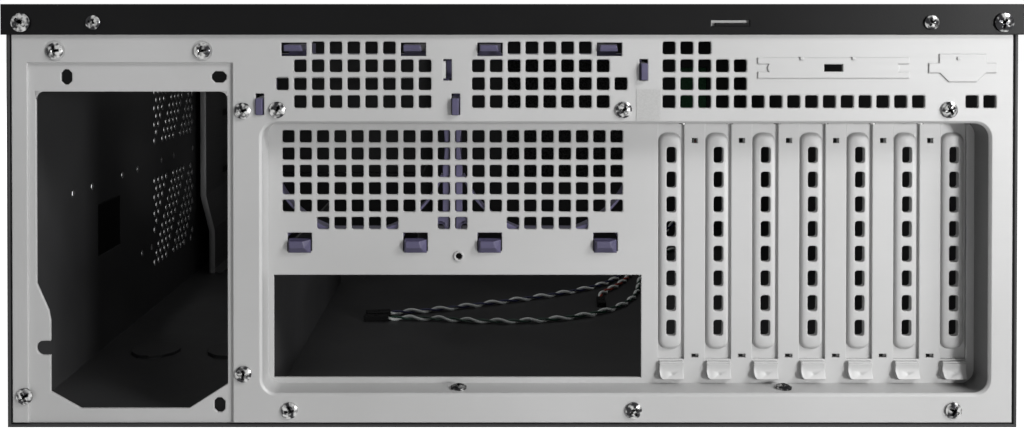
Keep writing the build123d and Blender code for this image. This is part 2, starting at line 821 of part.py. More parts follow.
def bay_blank(bay):
    """One hollow blank that fills a drive bay, with a groove along its middle."""
    z0 = bay_bottom + bay_height * bay + blank_fit / 2
    z1 = z0 + bay_height - blank_fit
    x0, x1 = bay_x - bay_width / 2 + blank_fit, bay_x + bay_width / 2 - blank_fit
    y1 = bezel_front_y - bay_edge / 2
    y0 = y1 - blank_depth
    blank = block(x0, x1, y0, y1, z0, z1)
    blank -= block(
        x0 + blank_wall, x1 - blank_wall, y0 - overrun, y1 - blank_wall, z0 + blank_wall, z1 - blank_wall
    )
    middle = (z0 + z1) / 2
    groove = (middle - blank_groove_height / 2, middle + blank_groove_height / 2)
    return blank - block(x0 - overrun, x1 + overrun, y1 - blank_groove, y1 + overrun, *groove)


def button(z, radius):
    """A stepped push button, its collar behind the bezel."""
    collar_y = bezel_back_y - fit
    stem = Pos(button_x, z) * RegularPolygon(radius, button_sides)
    collar = Pos(button_x, z) * RegularPolygon(radius + button_flange, button_sides)
    return upright(stem, collar_y, bezel_front_y + button_proud) + upright(
        collar, collar_y - button_flange_depth, collar_y
    )


def lenses():
    """Two indicator lenses in the bezel, reaching back to their diodes on the board."""
    back = switch_board_y() + board_thickness
    lens = RegularPolygon(lens_radius, lens_sides)
    return Compound([upright(Pos(button_x, z) * lens, back, bezel_front_y + lens_proud) for z in lens_z])


def switch_board_y():
    """Where the rear face of the switch board lies."""
    collar_back = bezel_back_y - fit - button_flange_depth
    return collar_back - plunger_gap - switch_depth - board_thickness


def switch_board():
    """The small board behind the buttons."""
    z = (power_z + min(lens_z)) / 2
    y = switch_board_y()
    board = upright(Pos(button_x, z) * Rectangle(board_width, board_height), y, y + board_thickness)
    return board + upright(Pos(button_x, header_z) * Rectangle(header_width, header_height), y - header_depth, y)


def dust_filter():
    """The foam pad between the cooling slots and the front panel's window."""
    z = vent_slot_top - (vent_slot_count - 1) * vent_slot_pitch / 2
    wide = front_window_width + 2 * filter_overlap
    tall = front_window_height + 2 * filter_overlap
    return upright(Pos(vent_slot_x, z) * Rectangle(wide, tall), front_y + fit, front_y + fit + filter_thickness)


def board_posts():
    """Moulded posts that carry the board from the bezel."""
    y = switch_board_y() + board_thickness
    middle = (power_z + min(lens_z)) / 2
    posts = []
    for side in (-1, 1):
        for up in (-1, 1):
            x = button_x + side * (board_width - switch_size / 2) / 2
            z = middle + up * (board_height - switch_size) / 2
            posts.append(upright(Pos(x, z) * Rectangle(switch_size / 2, switch_size / 2), y, bezel_back_y))
    return posts


def switches():
    """The two switches on the board, under the buttons."""
    y = switch_board_y() + board_thickness
    return Compound(
        [
            upright(Pos(button_x, z) * Rectangle(switch_size, switch_size), y, y + switch_depth)
            for z in (power_z, reset_z)
        ]
    )


def rack_ear(side):
    """A folded bracket that carries the case in a rack, with two slots."""
    inner = half_width
    outer = rack_width / 2
    face = rectangle(*sorted((side * inner, side * outer)), ear_bottom, ear_bottom + wall_top)
    ear = upright(face, front_y - ear_sheet, front_y)
    ends = sorted((side * inner, side * (inner + ear_sheet)))
    ear += block(ends[0], ends[1], front_y - ear_leg, front_y, ear_bottom, flange_bottom - overrun)
    x = side * ear_slot_span / 2
    middle = ear_bottom + wall_top / 2
    slot = SlotOverall(ear_slot_length, ear_slot_height)
    places = [(x, middle - ear_slot_spacing / 2), (x, middle + ear_slot_spacing / 2)]
    return punch(ear, spots(slot, places), front_y - ear_sheet, front_y)


def handle(side):
    """A bar handle that stands on the ear."""
    x = side * (half_width + ear_sheet + handle_inset)
    z = ear_bottom + wall_top / 2
    grip = block(
        x - handle_bar / 2,
        x + handle_bar / 2,
        front_y,
        front_y + handle_reach,
        z - handle_height / 2,
        z + handle_height / 2,
    )
    grip = chamfer(grip.edges().filter_by(Axis.X).group_by(Axis.Y)[-1], handle_bar / 2)
    hole = handle_height / 2 - handle_bar
    grip -= block(
        x - handle_bar, x + handle_bar, front_y - overrun, front_y + handle_reach - handle_bar, z - hole, z + hole
    )
    return grip


def route_points(name):
    """The route of a lead in the case's frame."""
    return [Vector(x, rear_y + depth, z) for x, depth, z in lead_routes[name]]


def route_radii(points):
    """The radius of each bend, as large as its two runs allow."""
    radii = []
    for before, here, after in zip(points, points[1:], points[2:]):
        run = min((here - before).length, (after - here).length)
        turn = math.radians((here - before).get_angle(after - here))
        radii.append(lead_arc_share * run / math.tan(turn / 2))
    return radii


def lead(name):
    """A twisted pair, as one tube along its route."""
    points = route_points(name)
    radii = route_radii(points)
    path = FilletPolyline(*points, radius=radii)
    start = Plane(origin=points[0], z_dir=points[1] - points[0])
    tube = sweep(start * RegularPolygon(lead_radius, lead_sides), path=path)
    print(name, "length", round(path.length, 1), "radii", [round(radius, 1) for radius in radii])
    return tube


def plug(name):
    """The small connector shell at the free end of a lead."""
    points = route_points(name)
    along = points[0] - points[1]
    place = Plane(origin=points[0], x_dir=along.cross(Vector(0, 0, 1)), z_dir=along)
    return extrude(place * Rectangle(plug_width, plug_height), plug_length)


pieces = {
    "base_pan": base_pan(),
    "top_cover": top_cover(),
    "cover_screws": round_screws(
        cover_screws, rear_y - cover_rear_gap - sheet, cover_head_radius, screw_length
    ),
    "rear_panel": rear_panel(),
    "recess_walls": recess_walls(),
    "recess_panel": recess_panel(),
    "side_plug": side_plug(),
    "rear_panel_screws": round_screws(
        supply_screws + tie_screws + lip_screws, rear_y, screw_head_radius, screw_length
    ),
    "recess_screws": recess_screws(),
    "supply_plate": supply_plate(),
    "tie_brackets": tie_brackets(),
    "fan_holder_left": fan_holder(fan_left_x),
    "fan_holder_right": fan_holder(fan_right_x),
    "supply_divider": supply_divider(),
    "drive_cage": drive_cage(),
    "front_panel": front_panel(),
    "front_bezel": Part() + front_bezel() + board_posts(),
    "power_button": button(power_z, power_radius),
    "reset_button": button(reset_z, reset_radius),
    "indicator_lenses": lenses(),
    "switch_board": switch_board(),
    "dust_filter": dust_filter(),
    "switches": switches(),
    "rack_ear_left": rack_ear(-1),
    "rack_ear_right": rack_ear(1),
    "handle_left": handle(-1),
    "handle_right": handle(1),
}
for index, x in enumerate(slot_centres):
    pieces[f"slot_cover_{index + 1}"] = slot_cover(x)
for bay in range(bay_count):
    pieces[f"bay_blank_{bay + 1}"] = bay_blank(bay)
for name in lead_routes:
    pieces[name] = lead(name)
    pieces[name.replace("lead", "plug")] = plug(name)

os.makedirs("parts", exist_ok=True)
for name, piece in pieces.items():
    export_step(piece, f"parts/{name}.step")
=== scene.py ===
import json
import math

import bmesh
import bpy
from mathutils import Matrix, Vector


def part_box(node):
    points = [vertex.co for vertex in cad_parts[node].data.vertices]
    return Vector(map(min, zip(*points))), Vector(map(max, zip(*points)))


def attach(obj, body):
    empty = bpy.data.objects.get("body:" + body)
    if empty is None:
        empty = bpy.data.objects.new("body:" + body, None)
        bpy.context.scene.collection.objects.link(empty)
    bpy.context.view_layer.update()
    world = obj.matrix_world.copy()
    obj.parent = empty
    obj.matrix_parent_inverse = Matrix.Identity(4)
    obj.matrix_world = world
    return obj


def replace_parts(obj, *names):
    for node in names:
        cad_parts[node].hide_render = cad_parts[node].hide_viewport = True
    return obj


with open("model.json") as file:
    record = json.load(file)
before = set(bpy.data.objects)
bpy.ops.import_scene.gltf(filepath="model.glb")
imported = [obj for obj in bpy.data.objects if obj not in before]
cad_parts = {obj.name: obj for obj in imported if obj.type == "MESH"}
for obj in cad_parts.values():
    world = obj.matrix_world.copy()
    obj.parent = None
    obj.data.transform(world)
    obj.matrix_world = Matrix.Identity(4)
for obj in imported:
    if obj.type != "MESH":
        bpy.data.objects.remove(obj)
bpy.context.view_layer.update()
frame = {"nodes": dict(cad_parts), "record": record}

nodes = frame["nodes"]
scene = bpy.context.scene
scene.view_settings.view_transform = "Standard"


# One millimetre in metres, then places of the case in millimetres, as in the part's source
MM = 0.001
REAR_Y = -222.5
RECESS_Y = -209.5
FRONT_Y = 222.5
SHEET = 1.2
FAN_XS = (-66.4, 15.66)
FAN_Z = 117.0
SLOT_XS = [69.0 + 20.32 * index for index in range(7)]


# Camera, behind the case and level with its cover, tipped down a little
CAMERA_DISTANCE = 420.3
TIPPED_DOWN = 0.5
camera_data = bpy.data.cameras.new("rear_camera")
camera_data.lens = 35.33
camera_data.sensor_width = 36.0
camera_data.shift_x = 0.0315
camera_data.shift_y = -0.1647
camera = bpy.data.objects.new("rear_camera", camera_data)
camera.location = (-0.0136, (REAR_Y - CAMERA_DISTANCE) * MM, 0.1631)
camera.rotation_euler = (math.radians(90 - TIPPED_DOWN), 0, 0)
scene.collection.objects.link(camera)
scene.camera = camera


# Building blocks of the materials

def finish_of(name, colour, metallic=0.0, roughness=0.5, specular=0.5):
    """A new material; what is the same all over the surface is set on the shader itself."""
    finish = bpy.data.materials.new(name)
    finish.use_nodes = True
    shader = finish.node_tree.nodes["Principled BSDF"]
    shader.inputs["Base Color"].default_value = (*colour, 1)
    shader.inputs["Metallic"].default_value = metallic
    shader.inputs["Roughness"].default_value = roughness
    shader.inputs["Specular IOR Level"].default_value = specular
    return finish


def grain(finish, scale, stretch=(1, 1, 1), detail=3.0, roughness=0.5):
    """Noise on the object's own coordinates, stretched along the axes."""
    tree = finish.node_tree
    place = tree.nodes.new("ShaderNodeTexCoord")
    mapping = tree.nodes.new("ShaderNodeMapping")
    noise = tree.nodes.new("ShaderNodeTexNoise")
    mapping.inputs["Scale"].default_value = stretch
    noise.inputs["Scale"].default_value = scale
    noise.inputs["Detail"].default_value = detail
    noise.inputs["Roughness"].default_value = roughness
    tree.links.new(place.outputs["Object"], mapping.inputs["Vector"])
    tree.links.new(mapping.outputs["Vector"], noise.inputs["Vector"])
    return noise.outputs["Fac"]


def cells(finish, scale, feature="F1"):
    """Cell pattern on the object's own coordinates."""
    tree = finish.node_tree
    place = tree.nodes.new("ShaderNodeTexCoord")
    pattern = tree.nodes.new("ShaderNodeTexVoronoi")
    pattern.feature = feature
    pattern.inputs["Scale"].default_value = scale
    tree.links.new(place.outputs["Object"], pattern.inputs["Vector"])
    return pattern


def spread(finish, value, low, high, start=0.3, stop=0.7):
    """The value taken to a range of its own."""
    tree = finish.node_tree
    span = tree.nodes.new("ShaderNodeMapRange")
    span.inputs["From Min"].default_value = start
    span.inputs["From Max"].default_value = stop
    span.inputs["To Min"].default_value = low
    span.inputs["To Max"].default_value = high
    tree.links.new(value, span.inputs["Value"])
    return span.outputs["Result"]


def shade_between(finish, value, first, second):
    """Base colour that goes from one colour to another with the value."""
    tree = finish.node_tree
    blend = tree.nodes.new("ShaderNodeMix")
    blend.data_type = "RGBA"
    blend.inputs["A"].default_value = (*first, 1)
    blend.inputs["B"].default_value = (*second, 1)
    tree.links.new(value, blend.inputs["Factor"])
    tree.links.new(blend.outputs["Result"], tree.nodes["Principled BSDF"].inputs["Base Color"])


def polish(finish, value):
    """Roughness from a value."""
    finish.node_tree.links.new(value, finish.node_tree.nodes["Principled BSDF"].inputs["Roughness"])


def relief(finish, heights, depth, strength=1.0, edge=0.0):
    """Bumps from one or more heights, each on top of the last, over edges that look rounded."""
    tree = finish.node_tree
    last = None
    if edge:
        rounded = tree.nodes.new("ShaderNodeBevel")
        rounded.samples = 6
        rounded.inputs["Radius"].default_value = edge * MM
        last = rounded.outputs["Normal"]
    for height in heights:
        bump = tree.nodes.new("ShaderNodeBump")
        bump.inputs["Distance"].default_value = depth
        bump.inputs["Strength"].default_value = strength
        tree.links.new(height, bump.inputs["Height"])
        if last:
            tree.links.new(last, bump.inputs["Normal"])
        last = bump.outputs["Normal"]
    tree.links.new(last, tree.nodes["Principled BSDF"].inputs["Normal"])


def added(finish, first, second):
    """The sum of two values."""
    tree = finish.node_tree
    total = tree.nodes.new("ShaderNodeMath")
    total.operation = "ADD"
    tree.links.new(first, total.inputs[0])
    tree.links.new(second, total.inputs[1])
    return total.outputs[0]


# Finishes
ZINC_DARK, ZINC_PALE = (0.46, 0.46, 0.457), (0.53, 0.53, 0.53)
# Painted shade: the grey that the drawn walls take between these two places along x, in metres, where the
# recess's right wall is in shadow
PAINTED_SHADE_ZINC = (0.16, 0.16, 0.16, 1)
SHADE_FROM_X, SHADE_TO_X = 0.182, 0.193


def galvanised_finish(name, dark, pale):
    """Zinc-coated sheet: faint crystals, fine rolling lines and soft stains."""
    zinc = finish_of(name, dark, metallic=0.12, roughness=0.5)
    stains = grain(zinc, 9.0, detail=4.0)
    lines = grain(zinc, 1.0, stretch=(14, 14, 1900), detail=2.0)
    crystals = cells(zinc, 260.0)
    shade_between(zinc, spread(zinc, stains, 0.0, 1.0), dark, pale)
    polish(zinc, added(zinc, spread(zinc, lines, 0.44, 0.52), spread(zinc, stains, 0.0, 0.07)))
    relief(zinc, [spread(zinc, lines, 0.0, 1.0), crystals.outputs["Distance"]], 0.000012, 0.35, edge=0.7)
    return zinc


def shaded_drawn_finish():
    """The recess's drawn walls, with painted shade: their colour darkens to a dull grey towards the
    right-hand corner, where the right wall and the strip beside it lie in shadow.
    """
    zinc = galvanised_finish("drawn_sheet_painted_shade", ZINC_DARK, ZINC_PALE)
    tree = zinc.node_tree
    shader = tree.nodes["Principled BSDF"]
    clean = shader.inputs["Base Color"].links[0].from_socket
    place = tree.nodes.new("ShaderNodeTexCoord")
    split = tree.nodes.new("ShaderNodeSeparateXYZ")
    tree.links.new(place.outputs["Object"], split.inputs[0])
    painted_shade = tree.nodes.new("ShaderNodeMix")
    painted_shade.data_type = "RGBA"
    painted_shade.inputs["B"].default_value = PAINTED_SHADE_ZINC
    share = spread(zinc, split.outputs["X"], 0.0, 1.0, SHADE_FROM_X, SHADE_TO_X)
    tree.links.new(share, painted_shade.inputs["Factor"])
    tree.links.new(clean, painted_shade.inputs["A"])
    tree.links.new(painted_shade.outputs["Result"], shader.inputs["Base Color"])
    return zinc


def black_sheet_finish(name, dark, pale, specular, gloss=(0.44, 0.58)):
    """Powder-coated sheet with a fine orange-peel skin and rubbed, slightly greyer patches."""
    coat = finish_of(name, dark, roughness=0.5, specular=specular)
    peel = grain(coat, 1300.0, detail=2.0)
    rubbed = grain(coat, 14.0, detail=5.0, roughness=0.6)
    shade_between(coat, spread(coat, rubbed, 0.0, 1.0), dark, pale)
    polish(coat, spread(coat, rubbed, *gloss))
    relief(coat, [peel], 0.00006, 0.5, edge=0.8)
    return coat


def screw_finish():
    """Bright zinc plate with large dark patches at random in its colour, and small scratches."""
    plate = finish_of("bright_screw", (0.3, 0.3, 0.31), metallic=1.0, roughness=0.2)
    scratches = grain(plate, 1.0, stretch=(3000, 900, 3000), detail=2.0)
    patch_noise = grain(plate, 420.0, detail=1.5)
    spots = spread(plate, patch_noise, 0.0, 1.0, 0.44, 0.60)
    shade_between(plate, spots, (0.03, 0.03, 0.032), (0.46, 0.46, 0.455))
    polish(plate, spread(plate, scratches, 0.13, 0.3))
    relief(plate, [scratches], 0.00001, 0.3)
    return plate


def purple_finish(name, dark, pale):
    """Moulded purple plastic with a fine matt grain and paler rubbed spots."""
    plastic = finish_of(name, dark, roughness=0.45)
    skin = grain(plastic, 2200.0, detail=2.0)
    clouds = grain(plastic, 60.0, detail=3.0)
    shade_between(plastic, spread(plastic, clouds, 0.0, 1.0), dark, pale)
    polish(plastic, spread(plastic, clouds, 0.38, 0.5))
    relief(plastic, [skin], 0.00002, 0.5, edge=0.6)
    return plastic


def black_plastic_finish():
    """Black moulded plastic with a spark-eroded grain."""
    plastic = finish_of("black_plastic", (0.02, 0.02, 0.021), roughness=0.5)
    skin = cells(plastic, 1500.0)
    clouds = grain(plastic, 18.0, detail=4.0)
    mottle = spread(plastic, clouds, 0.0, 1.0)
    shade_between(plastic, mottle, (0.016, 0.016, 0.017), (0.028, 0.028, 0.029))
    polish(plastic, spread(plastic, clouds, 0.42, 0.55))
    relief(plastic, [skin.outputs["Distance"]], 0.00008, 0.5)
    return plastic


def lens_finish():
    """Clear milky lens of an indicator."""
    lens = finish_of("lens_plastic", (0.62, 0.68, 0.62), roughness=0.18)
    lens.node_tree.nodes["Principled BSDF"].inputs["Transmission Weight"].default_value = 0.55
    haze = grain(lens, 900.0, detail=2.0)
    shade_between(lens, spread(lens, haze, 0.0, 1.0), (0.58, 0.64, 0.58), (0.68, 0.73, 0.68))
    polish(lens, spread(lens, haze, 0.14, 0.26))
    return lens


def board_finish():
    """Green solder mask over copper traces."""
    mask = finish_of("board_green", (0.02, 0.10, 0.04), roughness=0.35)
    traces = cells(mask, 420.0, "DISTANCE_TO_EDGE")
    copper = spread(mask, traces.outputs["Distance"], 1.0, 0.0, 0.02, 0.06)
    shade_between(mask, copper, (0.015, 0.085, 0.03), (0.04, 0.16, 0.07))
    polish(mask, spread(mask, grain(mask, 300.0), 0.28, 0.42))
    relief(mask, [traces.outputs["Distance"]], 0.00002, 0.4)
    return mask


def foam_finish():
    """Open black filter foam."""
    foam = finish_of("filter_foam", (0.02, 0.02, 0.02), roughness=0.95, specular=0.2)
    pores = cells(foam, 620.0)
    walls = spread(foam, pores.outputs["Distance"], 0.0, 1.0, 0.1, 0.8)
    shade_between(foam, walls, (0.006, 0.006, 0.006), (0.045, 0.045, 0.045))
    polish(foam, spread(foam, grain(foam, 40.0), 0.9, 1.0))
    relief(foam, [pores.outputs["Distance"]], 0.0006, 0.9)
    return foam


def wire_finish(name, dark, bright):
    """Soft wire insulation, slightly uneven in colour."""
    jacket = finish_of(name, bright, roughness=0.38)
    uneven = grain(jacket, 160.0, detail=3.0)
    shade_between(jacket, spread(jacket, uneven, 0.0, 1.0), dark, bright)
    polish(jacket, spread(jacket, uneven, 0.32, 0.46))
    relief(jacket, [grain(jacket, 3500.0)], 0.00001, 0.4)
    return jacket


def label_finish():
    """Plain white label with a faint paper grain."""
    paper = finish_of("plain_label", (0.8, 0.8, 0.79), roughness=0.55)
    fibres = grain(paper, 1600.0, detail=4.0)
    shade_between(paper, spread(paper, fibres, 0.0, 1.0), (0.44, 0.44, 0.435), (0.50, 0.50, 0.495))
    relief(paper, [fibres], 0.00001, 0.4)
    return paper


finishes = {
    "galvanised_sheet": galvanised_finish("galvanised_sheet", ZINC_DARK, ZINC_PALE),
    "black_sheet": black_sheet_finish("black_sheet", (0.024, 0.024, 0.025), (0.036, 0.036, 0.037), 0.3),
    "bright_screw": screw_finish(),
    "purple_plastic": purple_finish("purple_plastic", (0.052, 0.046, 0.095), (0.075, 0.067, 0.135)),
    # Painted shade: a darker copy of the purple plastic for the holders' frames, which lie in shadow behind
    # the sheets
    "purple_painted_shade": purple_finish("purple_painted_shade", (0.018, 0.016, 0.034), (0.026, 0.023, 0.048)),
    "black_plastic": black_plastic_finish(),
    "lens_plastic": lens_finish(),
    "board_green": board_finish(),
    "filter_foam": foam_finish(),
    "blue_wire": wire_finish("blue_wire", (0.010, 0.012, 0.055), (0.016, 0.02, 0.085)),
    "green_wire": wire_finish("green_wire", (0.006, 0.032, 0.020), (0.010, 0.055, 0.033)),
    "red_wire": wire_finish("red_wire", (0.26, 0.025, 0.015), (0.38, 0.05, 0.03)),
    "white_wire": wire_finish("white_wire", (0.72, 0.76, 0.74), (0.84, 0.87, 0.85)),
    "plain_label": label_finish(),
}
finishes["handle_metal"] = finishes["black_sheet"]
lid_finish = black_sheet_finish(
    "black_lid", (0.0025, 0.0025, 0.0027), (0.005, 0.005, 0.0053), specular=0.1, gloss=(0.34, 0.42)
)

for part in frame["record"]["subparts"]:
    node = nodes[part["node"]]
    node.data.materials.clear()
    node.data.materials.append(finishes[part["material_slot"]])
nodes["top_cover"].data.materials[0] = lid_finish
# Painted shade: the side plug is near-black, a stopper that stands for the dark seen through the wall's
# side hole
nodes["side_plug"].data.materials[0] = black_sheet_finish(
    "plug_painted_shade", (0.003, 0.003, 0.003), (0.006, 0.006, 0.006), specular=0.1
)
# Painted shade: the drive cage gets a much darker copy of the galvanised finish, for the shade inside the
# case
nodes["drive_cage"].data.materials[0] = galvanised_finish(
    "cage_sheet_painted_shade", (0.035, 0.035, 0.036), (0.06, 0.06, 0.061)
)
# Painted shade on the recess walls towards the right-hand corner
nodes["recess_walls"].data.materials[0] = shaded_drawn_finish()


# Building blocks of the meshes
SHARP_TURN = 35


def piece_from(name, form, body, slot_name, finish=None):
    """An object for a finished mesh, riding on a body; a mesh with no material gets its slot's finish."""
    piece = bpy.data.objects.new(name, form)
    scene.collection.objects.link(piece)
    if not finish and not form.materials:
        finish = finishes[slot_name]
    if finish:
        form.materials.clear()
        form.materials.append(finish)
    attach(piece, body)
    return piece


def plain_mesh(host, name):
    """The evaluated mesh of an object with modifiers; the object is then removed."""
    graph = bpy.context.evaluated_depsgraph_get()
    form = bpy.data.meshes.new_from_object(host.evaluated_get(graph))
    form.name = name
    bpy.data.objects.remove(host)
    return form


def mesh_of(shape, name, face_out=False):
    """The mesh of a finished bmesh, which is freed; its faces are turned outward where asked."""
    if face_out:
        bmesh.ops.recalc_face_normals(shape, faces=shape.faces)
    form = bpy.data.meshes.new(name)
    shape.to_mesh(form)
    shape.free()
    return form


def smoothed(form, angle=SHARP_TURN):
    """Smooth shading with edges kept where the faces turn by more than the angle, in degrees."""
    for face in form.polygons:
        face.use_smooth = True
    form.set_sharp_from_angle(angle=math.radians(angle))
    return form


def points_mesh(places):
    """A mesh of loose points, from places in millimetres."""
    form = bpy.data.meshes.new("places")
    form.from_pydata([Vector(place) * MM for place in places], [], [])
    return form


def grown(name, host_mesh, tree, sizes):
    """Runs a geometry tree with its sizes on a mesh and returns the plain result."""
    host = bpy.data.objects.new(name + "_host", host_mesh)
    scene.collection.objects.link(host)
    modifier = host.modifiers.new("grow", "NODES")
    modifier.node_group = tree
    sockets = {item.name: item.identifier for item in tree.interface.items_tree if item.in_out == "INPUT"}
    for label, value in sizes.items():
        modifier[sockets[label]] = value
    return plain_mesh(host, name)


class Tree:
    """A geometry tree that is written from its named inputs to its result."""

    def __init__(self, name, inputs):
        """Each input is given as its name, its socket type and its value at first."""
        self.group = bpy.data.node_groups.new(name, "GeometryNodeTree")
        face = self.group.interface
        face.new_socket("Geometry", in_out="INPUT", socket_type="NodeSocketGeometry")
        face.new_socket("Geometry", in_out="OUTPUT", socket_type="NodeSocketGeometry")
        for label, kind, value in inputs:
            socket = face.new_socket(label, in_out="INPUT", socket_type=kind)
            if value is not None:
                socket.default_value = value
        self.given = self.group.nodes.new("NodeGroupInput").outputs
        self.result = self.group.nodes.new("NodeGroupOutput").inputs["Geometry"]

    def add(self, kind, settings=None, **inputs):
        """A node; each input takes a value or another node's output, and underscores stand for spaces."""
        node = self.group.nodes.new(kind)
        for key, value in (settings or {}).items():
            setattr(node, key, value)
        for key, value in inputs.items():
            socket = self.pick(node, key)
            if isinstance(value, bpy.types.NodeSocket):
                self.group.links.new(value, socket)
            else:
                socket.default_value = value
        return node

    def pick(self, node, key):
        """An input of a node by its place, such as n0, or by its name."""
        if key[0] == "n" and key[1:].isdigit():
            return node.inputs[int(key[1:])]
        return node.inputs[key.replace("_", " ")]

    def maths(self, operation, *values):
        """A sum, product or the like of numbers and outputs."""
        inputs = {f"n{index}": value for index, value in enumerate(values)}
        return self.add("ShaderNodeMath", {"operation": operation}, **inputs).outputs[0]

    def vector(self, **lengths):
        """A vector from its lengths along X, Y and Z."""
        return self.add("ShaderNodeCombineXYZ", **lengths).outputs[0]

    def moved(self, geometry, offset):
        """Geometry taken elsewhere."""
        return self.add("GeometryNodeTransform", Geometry=geometry, Translation=offset).outputs[0]

    def close(self, geometry, finish_socket):
        """Ends the tree with real geometry and its material."""
        real = self.add("GeometryNodeRealizeInstances", Geometry=geometry).outputs[0]
        painted = self.add("GeometryNodeSetMaterial", Geometry=real, Material=finish_socket).outputs[0]
        self.group.links.new(painted, self.result)
        return self.group


# Shares of a screw head's radius and height that its dome and its cross recess take
DOME_POWER, DOME_DROP = 2.6, -0.52
CROSS_LENGTH, CROSS_WIDTH = 1.3, 0.34
CROSS_HEIGHT, CROSS_MIDDLE = 1.7, 1.12


def cross_screw_tree():
    """A domed screw with a cross recess and a shank on every point, turned at random about its line."""
    tree = Tree("cross_screws", [
        ("Head Radius", "NodeSocketFloat", 3.4 * MM),
        ("Head Height", "NodeSocketFloat", 1.8 * MM),
        ("Shank Radius", "NodeSocketFloat", 1.5 * MM),
        ("Shank Length", "NodeSocketFloat", 6 * MM),
        ("Facing", "NodeSocketVector", (0, 0, 0)),
        ("Seed", "NodeSocketInt", 1),
        ("Finish", "NodeSocketMaterial", None),
    ])
    radius, height = tree.given["Head Radius"], tree.given["Head Height"]
    shank_radius, shank_length = tree.given["Shank Radius"], tree.given["Shank Length"]
    middle = tree.maths("MULTIPLY", height, 0.5)
    slab = tree.add(
        "GeometryNodeMeshCylinder", {"fill_type": "TRIANGLE_FAN"},
        Vertices=32, Side_Segments=1, Fill_Segments=5, Radius=radius, Depth=height,
    )
    raised = tree.moved(slab.outputs["Mesh"], tree.vector(Z=middle))
    place = tree.add("GeometryNodeInputPosition").outputs[0]
    x, y, z = tree.add("ShaderNodeSeparateXYZ", Vector=place).outputs
    squares = tree.maths("ADD", tree.maths("MULTIPLY", x, x), tree.maths("MULTIPLY", y, y))
    share = tree.maths("DIVIDE", tree.maths("SQRT", squares), radius)
    full_drop = tree.maths("MULTIPLY", height, DOME_DROP)
    drop = tree.maths("MULTIPLY", tree.maths("POWER", share, DOME_POWER), full_drop)
    upper = tree.maths("GREATER_THAN", z, middle)
    head = tree.add(
        "GeometryNodeSetPosition", Geometry=raised, Selection=upper, Offset=tree.vector(Z=drop)
    ).outputs[0]
    long_side = tree.maths("MULTIPLY", radius, CROSS_LENGTH)
    short_side = tree.maths("MULTIPLY", radius, CROSS_WIDTH)
    depth = tree.maths("MULTIPLY", height, CROSS_HEIGHT)
    lift = tree.vector(Z=tree.maths("MULTIPLY", height, CROSS_MIDDLE))
    for width, breadth in ((long_side, short_side), (short_side, long_side)):
        bar = tree.add("GeometryNodeMeshCube", Size=tree.vector(X=width, Y=breadth, Z=depth))
        cutter = tree.moved(bar.outputs["Mesh"], lift)
        cut = tree.add("GeometryNodeMeshBoolean", {"operation": "DIFFERENCE"}, n0=head, n1=cutter)
        head = cut.outputs["Mesh"]
    shank = tree.add("GeometryNodeMeshCylinder", Vertices=14, Radius=shank_radius, Depth=shank_length)
    sunk = tree.moved(shank.outputs["Mesh"], tree.vector(Z=tree.maths("MULTIPLY", shank_length, -0.5)))
    both = tree.add("GeometryNodeJoinGeometry")
    tree.group.links.new(head, both.inputs[0])
    tree.group.links.new(sunk, both.inputs[0])
    facing = tree.add("FunctionNodeEulerToRotation", Euler=tree.given["Facing"]).outputs[0]
    standing = tree.add(
        "GeometryNodeInstanceOnPoints",
        Points=tree.given["Geometry"], Instance=both.outputs[0], Rotation=facing,
    ).outputs[0]
    turn = tree.add("FunctionNodeRandomValue", {"data_type": "FLOAT"}, Seed=tree.given["Seed"])
    turn.inputs[2].default_value = 0.0
    turn.inputs[3].default_value = math.tau
    spin = tree.vector(Z=turn.outputs[1])
    spun = tree.add("GeometryNodeRotateInstances", Instances=standing, Rotation=spin, Local_Space=True)
    return tree.close(spun.outputs[0], tree.given["Finish"])


REARWARD = (math.radians(90), 0, 0)
UPWARD = (0, 0, 0)
LEFTWARD = (0, math.radians(-90), 0)
RIGHTWARD = (0, math.radians(90), 0)
screws_tree = cross_screw_tree()


def screws(name, places, facing, body, radius=3.4, height=1.8, seed=1, length=6.0):
    """Cross-head screws at places in millimetres; each place is the head's underside."""
    form = grown(name, points_mesh(places), screws_tree, {
        "Head Radius": radius * MM, "Head Height": height * MM, "Shank Length": length * MM,
        "Facing": facing, "Seed": seed, "Finish": finishes["bright_screw"],
    })
    return piece_from(name, smoothed(form), body, "bright_screw")


# Front-panel leads: two twisted strands each, on the routes of the part's source
LEAD_ROUTES = {
    "blue": [
        (-66, 167, 2.7), (-44, 171, 2.7), (-20, 182, 2.7), (8, 195, 2.7), (40, 212, 2.7), (66, 232, 2.7),
        (84, 262, 2.7), (94, 300, 2.7), (104, 340, 2.7), (122, 374, 2.7), (142, 396, 9), (154, 412, 26),
        (160, 424, 46), (162, 431, 62), (163, 437, 74), (164, 444.7, 79),
    ],
    "green": [
        (-66, 156, 2.7), (-42, 156, 2.7), (-16, 149, 2.7), (14, 149, 2.7), (44, 158, 2.7), (70, 178, 2.7),
        (86, 210, 2.7), (92, 246, 2.7), (104, 286, 2.7), (118, 322, 2.7), (138, 350, 2.7), (158, 374, 2.7),
        (168, 398, 12), (173, 414, 30), (175, 425, 48), (176, 432, 64), (176, 438, 75), (176, 444.7, 79),
    ],
    "red": [
        (61, 198, 2.7), (62, 211, 2.7), (70, 222, 2.7), (78, 236, 2.7), (87, 256, 2.7), (98, 292, 2.7),
        (111, 331, 2.7), (130, 362, 2.7), (150, 386, 8), (161, 404, 22), (167, 418, 40), (169, 427, 56),
        (170, 433, 69), (170, 438, 76), (170, 444.7, 79),
    ],
}

# Radius of the coloured and the white strand, each with its distance from the middle line
STRANDS = ((0.60 * MM, 0.62 * MM), (0.84 * MM, 0.98 * MM))
TWIST_PITCH = 17.0 * MM
STRAND_SIDES = 8


def case_points(route):
    """Points of x, depth from the rear face and height, taken to metres in the frame."""
    return [Vector((x, REAR_Y + depth, z)) * MM for x, depth, z in route]


